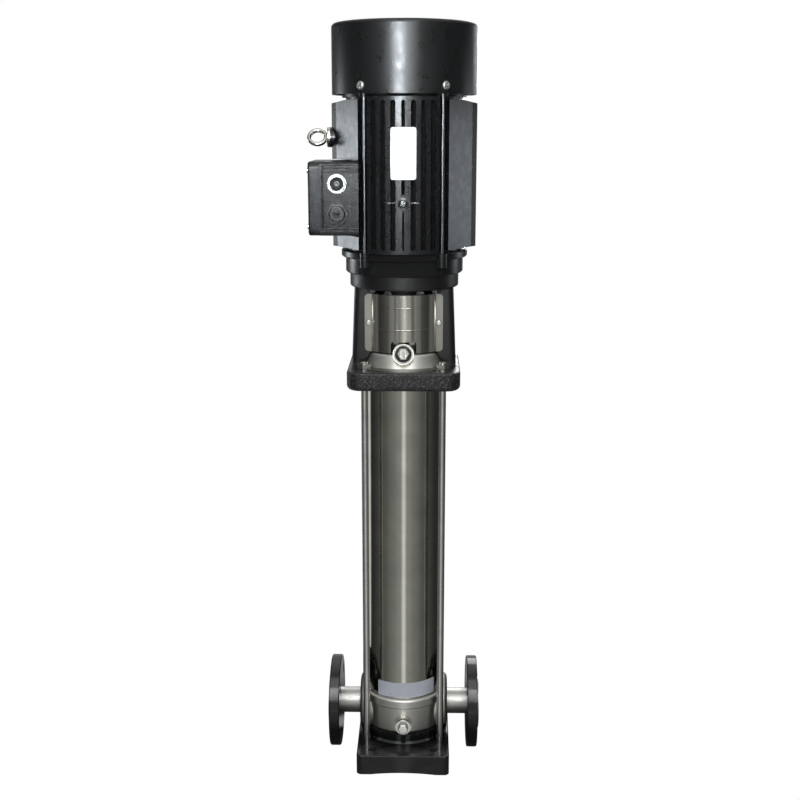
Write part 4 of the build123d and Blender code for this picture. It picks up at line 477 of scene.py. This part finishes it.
def make_world():
    """A white backdrop for the camera; for the reflections a dim room, bright in front."""
    world = bpy.data.worlds.new("studio")
    bpy.context.scene.world = world
    world.use_nodes = True
    tree = world.node_tree
    back = tree.nodes["Background"]
    across = tree.nodes.new("ShaderNodeTexCoord").outputs["Generated"]
    zenith = ramp_of(tree, facing(tree, across, UP), ZENITH_GLOW)
    room, _ = room_glow(tree, across, GLOW)
    tree.links.new(vector_maths(tree, "ADD", room, zenith), back.inputs["Color"])
    shown = tree.nodes.new("ShaderNodeBackground")
    shown.inputs["Color"].default_value = (*WHITE, 1)
    camera_split(tree, shown.outputs[0], back.outputs[0],
                 tree.nodes["World Output"].inputs["Surface"])


def make_floor():
    """A floor that is plain white to the camera and, to every other ray, glows with painted room
    light, a bright stripe and card, and a painted shadow near the pump.
    """
    mesh = bpy.data.meshes.new("floor")
    half = FLOOR_SIZE / 2
    mesh.from_pydata([(-half, -half, 0), (half, -half, 0), (half, half, 0), (-half, half, 0)],
                     [], [(0, 1, 2, 3)])
    floor = new_object("floor", mesh)
    shader = Shader("floor")
    tree = shader.tree
    shown = shader.node("ShaderNodeEmission")
    shown.inputs["Color"].default_value = (*WHITE, 1)
    reflected = shader.node("ShaderNodeEmission")
    room, direction = room_glow(tree, shader.coords, FLOOR_GLOW)
    card = ramp_of(tree, facing(tree, direction, CARD_DIRECTION), CARD_GLOW)
    shader.link(vector_maths(tree, "ADD", room, card), reflected.inputs["Color"])
    reach = vector_maths(tree, "LENGTH", shader.coords)
    shader.link(shader.spread(reach, SHADOW_LEVEL, 1.0, SHADOW_BORDER),
                reflected.inputs["Strength"])
    camera_split(tree, shown.outputs[0], reflected.outputs[0],
                 tree.nodes["Material Output"].inputs["Surface"])
    mesh.materials.append(shader.material)


# Soft boxes: where each stands and aims, its width and height, all in metres, its power in
# watts, its colour and the spread of its beam in degrees
COOL = (0.88, 0.95, 1.0)
OPEN = 180
LIGHTS = {
    "front_high": ((-0.21, -2.0, 1.27), (0, -0.1, 1.14), (0.34, 0.44), 0.56, COOL, 18),
    "front_low": ((-0.25, -2.0, 0.88), (-0.03, -0.1, 0.94), (0.30, 0.36), 0.012, COOL, 16),
    "left_rear": ((-1.34, 0.68, 0.86), (-0.07, -0.07, 0.93), (0.5, 0.44), 0.10, COOL, 20),
    "right_rear": ((1.34, 0.68, 0.86), (0.07, -0.07, 0.94), (0.5, 0.44), 0.048, COOL, 26),
    "right_rim": ((1.0, 1.45, 1.25), (0.1, 0, 1.12), (0.2, 0.4), 0.014, COOL, 20),
    "back_high": ((0.21, 2.0, 1.27), (0, 0.1, 1.1), (0.4, 0.5), 0.5, COOL, 20),
    "back_fill": ((0.3, 2.1, 1.5), (0, 0.05, 0.7), (0.8, 1.4), 12, WHITE, OPEN),
    "front_top_left": ((-0.42, -1.91, 1.64), (0, -0.07, 0.45), (0.34, 1.4), 10, WHITE, OPEN),
    "front_top_right": ((0.36, -1.91, 1.64), (0, -0.07, 0.45), (0.34, 1.4), 10, WHITE, OPEN),
    "overhead": ((0.0, -0.9, 2.3), (0, 0, 0.7), (1.3, 1.0), 4, WHITE, OPEN),
}


def make_lights():
    """The soft boxes, as rectangular area lights."""
    for name, (at, aim, (width, height), power, colour, spread) in LIGHTS.items():
        data = bpy.data.lights.new(name, "AREA")
        data.shape = "RECTANGLE"
        data.size = width
        data.size_y = height
        data.energy = power
        data.color = colour
        data.spread = math.radians(spread)
        light = new_object(name, data)
        light.location = at
        look_along(light, Vector(aim) - Vector(at))


def finish(obj, material):
    """Give a piece its material and its body."""
    obj.data.materials.append(material)
    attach(obj, "pump_body")
    return obj


def corner_inset(away, corner):
    """How far a rounded corner pulls an edge in, at a distance from the sheet's end."""
    if away >= corner:
        return 0.0
    return corner - math.sqrt(corner ** 2 - (corner - away) ** 2)


def curved_sheet(name, radius, thickness, angles, levels, tilt=0.0, corner=0.0, steps=48):
    """A sheet bent round the vertical axis; angles in degrees from the front, sizes in mm."""
    first, last = angles
    low, high = levels
    middle = (first + last) / 2
    verts = []
    for index in range(steps + 1):
        angle = first + (last - first) * index / steps
        inset = max(corner_inset(math.radians(abs(angle - end)) * radius, corner)
                    for end in (first, last))
        lift = math.radians(angle - middle) * radius * math.tan(math.radians(tilt))
        turn = math.radians(angle)
        for r in (radius, radius + thickness):
            for z in (low + inset + lift, high - inset + lift):
                verts.append((r * math.sin(turn) * MM, -r * math.cos(turn) * MM, z * MM))
    faces = []
    for a in range(0, 4 * steps, 4):
        b = a + 4
        faces += [(a + 2, b + 2, b + 3, a + 3), (a, a + 1, b + 1, b),
                  (a + 1, a + 3, b + 3, b + 1), (a, b, b + 2, a + 2)]
    end = 4 * steps
    faces += [(0, 2, 3, 1), (end, end + 1, end + 3, end + 2)]
    mesh = bpy.data.meshes.new(name)
    mesh.from_pydata(verts, [], faces)
    mesh.validate()
    return new_object(name, mesh)


# A turned profile's point this close to the axis, in mm, is on it
ON_AXIS = 1e-6


def placed(at, toward):
    """The move that stands an upright form on a point in mm, facing a direction."""
    turn = Vector(toward).to_track_quat("Z", "Y").to_matrix().to_4x4()
    return Matrix.Translation(Vector(at) * MM) @ turn


def lathe(name, profile, at, toward, segments=40):
    """Turn a profile of (radius, height) in mm round an axis through a point."""
    bm = bmesh.new()
    rings = []
    for radius, height in profile:
        if radius < ON_AXIS:
            rings.append([bm.verts.new((0, 0, height * MM))])
            continue
        ring = []
        for index in range(segments):
            angle = 2 * math.pi * index / segments
            ring.append(bm.verts.new((radius * MM * math.cos(angle),
                                      radius * MM * math.sin(angle), height * MM)))
        rings.append(ring)
    for lower, upper in zip(rings, rings[1:]):
        for index in range(segments):
            following = (index + 1) % segments
            corners = []
            for ring, place in ((lower, index), (lower, following),
                                (upper, following), (upper, index)):
                vert = ring[place % len(ring)]
                if vert not in corners:
                    corners.append(vert)
            if len(corners) > 2:
                bm.faces.new(corners)
    bmesh.ops.recalc_face_normals(bm, faces=bm.faces)
    bm.transform(placed(at, toward))
    mesh = bpy.data.meshes.new(name)
    bm.to_mesh(mesh)
    bm.free()
    for face in mesh.polygons:
        face.use_smooth = True
    return new_object(name, mesh)


def box_piece(name, low, high):
    """A plain block between two corners in mm."""
    corners = [(x * MM, y * MM, z * MM)
               for x in (low[0], high[0]) for y in (low[1], high[1]) for z in (low[2], high[2])]
    mesh = bpy.data.meshes.new(name)
    mesh.from_pydata(corners, [], [(0, 1, 3, 2), (4, 6, 7, 5), (0, 4, 5, 1),
                                   (2, 3, 7, 6), (0, 2, 6, 4), (1, 5, 7, 3)])
    return new_object(name, mesh)


# A pan head by shares of its radius and height, its cross by shares of the same, and the turn
# of the cross in degrees
PAN_HEAD = ((0.86, 0.75), (0.6, 0.97), (0.3, 1), (0, 1))
PAN_SIDE = 0.3
CROSS_LENGTH, CROSS_WIDTH, CROSS_DEPTH = 0.6, 0.13, 0.55
CROSS_TURN = 35
# A washer under a head, in mm
WASHER_RISE = 1.0
WASHER_SIDE = 0.8
WASHER_CHAMFER = 0.3


def cut_out(obj, cutter):
    """Cut one object's form out of another's, and drop the cutter."""
    modifier = obj.modifiers.new("cut", "BOOLEAN")
    modifier.operation = "DIFFERENCE"
    modifier.object = cutter
    bpy.context.view_layer.update()
    whole = obj.evaluated_get(bpy.context.evaluated_depsgraph_get())
    mesh = bpy.data.meshes.new_from_object(whole)
    obj.modifiers.clear()
    obj.data = mesh
    bpy.data.objects.remove(cutter)


def pan_screw(name, at, toward, radius, height, material, washer=0.0):
    """A pan-head screw, turned and with a cross cut out; washer is its washer's radius."""
    rise = WASHER_RISE if washer else 0.0
    profile = [(0, 0), (radius, 0)]
    if washer:
        profile = [(0, 0), (washer, 0), (washer, WASHER_SIDE), (washer - WASHER_CHAMFER, rise),
                   (radius, rise)]
    profile.append((radius, height * PAN_SIDE + rise))
    profile += [(radius * out, height * up + rise) for out, up in PAN_HEAD]
    head = lathe(name, profile, (0, 0, 0), UP, segments=32)
    top = height + rise
    foot = top - height * CROSS_DEPTH
    for x, y in ((CROSS_LENGTH, CROSS_WIDTH), (CROSS_WIDTH, CROSS_LENGTH)):
        x *= radius
        y *= radius
        cut_out(head, box_piece("cutter", (-x, -y, foot), (x, y, top + 1)))
    head.data.transform(placed(at, toward) @ Matrix.Rotation(math.radians(CROSS_TURN), 4, "Z"))
    return finish(head, material)


# Radii of the CAD model that the plates are bent round, in mm, and how far each stands clear
SLEEVE_RADIUS = 63.0
FIN_TIPS = 104.0
PLATE_CLEAR = 0.02
BAND_CLEAR = 0.84
LABEL_CLEAR = 0.03


def add_plates(materials):
    """The blank rating plate on the fins and the blank film on the sleeve."""
    plate = curved_sheet("rating_plate", FIN_TIPS + PLATE_CLEAR, thickness=0.8,
                         angles=(-10.0, 10.4), levels=(948, 1022), corner=3)
    finish(plate, materials["plate_white"])
    band = curved_sheet("plate_band", FIN_TIPS + BAND_CLEAR, thickness=0.25,
                        angles=(-9.7, 10.1), levels=(950, 967), corner=1)
    finish(band, materials["film_grey"])
    label = curved_sheet("sleeve_film", SLEEVE_RADIUS + LABEL_CLEAR, thickness=0.3,
                         angles=(-41, 52), levels=(111.2, 137.2), tilt=0.8, corner=1, steps=72)
    finish(label, materials["label_film"])


# The boss between the fins, in mm, and the parting lines beside it: their ends from the middle,
# their outer and inner faces and their levels
BOSS = (0, -105.0, 914.0)
PARTING_ENDS = (12.0, 22.5)
PARTING_FACES = (-102.4, -99.0)
PARTING_LEVELS = (914.4, 915.4)


def add_motor_details(materials):
    """The earth screw on its boss and the casting's parting lines between the fins, in a lighter
    steel finish as a painted highlight.
    """
    pan_screw("earth_screw", BOSS, TO_FRONT, radius=5.4, height=3.0,
              material=materials["gland_metal"], washer=8.0)
    for name, side in (("left", -1), ("right", 1)):
        ends = sorted(side * end for end in PARTING_ENDS)
        low, high = zip(ends, PARTING_FACES, PARTING_LEVELS)
        # The parting lines get a lighter finish than the black paint round them: a painted
        # highlight along the ledges
        finish(box_piece(f"parting_line_{name}", low, high), materials["black_steel"])


# Turned pieces: the finish, a point on the seat in mm, the way it faces and the profile of
# (radius, height) in mm. The vent plug's axis rises by 20 degrees.
UPPER_GLAND = (-97.0, -89.2, 941.5)
LOWER_GLAND = (-97.0, -97.2, 898.0)
VENT_SEAT = (0, -80, 687)
VENT_AXIS = (0, -math.cos(math.radians(20)), math.sin(math.radians(20)))
TURNED = {
    "upper_gland_seal": ("seal_rubber", UPPER_GLAND, TO_FRONT, [
        (0, 0), (9.9, 0), (9.9, 1.2), (8.6, 2.0), (6.0, 2.2), (5.2, 1.2), (4.6, 1.2), (0, 1.2)]),
    "upper_gland_cap": ("black_steel", UPPER_GLAND, TO_FRONT, [
        (0, 0), (4.4, 0), (4.4, 1.6), (3.6, 2.4), (1.6, 2.6), (1.2, 1.9), (0, 1.9)]),
    "lower_gland_cap": ("gland_plastic", LOWER_GLAND, TO_FRONT, [
        (0, -1.5), (4.9, -1.5), (4.9, -0.4), (3.8, 0.5), (2.0, 0.6), (1.4, -0.6), (0, -0.6)]),
    # A dark rubber ring in the vent plug's recess: painted shade where the recess is in shadow
    "vent_shade_ring": ("seal_rubber", VENT_SEAT, VENT_AXIS, [
        (0, 2.0), (12.5, 2.0), (12.5, 2.5), (10.6, 2.9), (0, 2.9)]),
}


def add_turned_pieces(materials):
    """Seals and caps in the cable glands, and a dark ring of painted shade in the recess between
    the vent plug's rim and hexagon.
    """
    for name, (finish_name, at, toward, profile) in TURNED.items():
        finish(lathe(name, profile, at, toward), materials[finish_name])


# The fan cover's screws: its radius in mm, and their angles from the front in degrees
COVER_RADIUS = 109.0
COVER_SCREWS = (-34, 34, 146, 214)


def add_cover_screws(materials):
    """Pan-head screws with cross recesses round the foot of the fan cover."""
    low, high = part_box("cover_screws")
    z = (low.z + high.z) / 2 / MM
    for index, angle in enumerate(COVER_SCREWS):
        out = Vector((math.sin(math.radians(angle)), -math.cos(math.radians(angle)), 0))
        place = out * COVER_RADIUS
        screw = pan_screw(f"cover_screw_{index + 1}", (place.x, place.y, z), out, radius=6.2,
                          height=3.2, material=materials["stub_stainless"])
        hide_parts("cover_screws")


# The folds of the guards' wings, in mm: their distance from the middle, how far they stop short
# of the sheet's ends, how far their axis is from the wings' inner face, and their radius
FOLD_ASIDE = 48.5
FOLD_INSET = 1.0
FOLD_OUT = 1.7
FOLD_RADIUS = 1.0


def add_guard_folds(materials):
    """The rolled bends where each guard's wings meet its bow."""
    for name in ("front", "rear"):
        low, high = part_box(f"{name}_guard")
        y = high.y / MM - FOLD_OUT if name == "front" else low.y / MM + FOLD_OUT
        foot = low.z / MM + FOLD_INSET
        length = (high.z - low.z) / MM - 2 * FOLD_INSET
        profile = [(0, 0), (FOLD_RADIUS, 0), (FOLD_RADIUS, length), (0, length)]
        for side, x in (("left", -FOLD_ASIDE), ("right", FOLD_ASIDE)):
            fold = lathe(f"{name}_fold_{side}", profile, (x, y, foot), UP, segments=20)
            finish(fold, materials["rod_steel"])


def main():
    """Build the scene round the frame."""
    make_camera()
    materials = make_materials()
    dress_nodes(materials)
    make_world()
    make_lights()
    make_floor()
    add_plates(materials)
    add_motor_details(materials)
    add_turned_pieces(materials)
    add_cover_screws(materials)
    add_guard_folds(materials)
    bpy.context.scene.view_settings.view_transform = "Standard"


main()
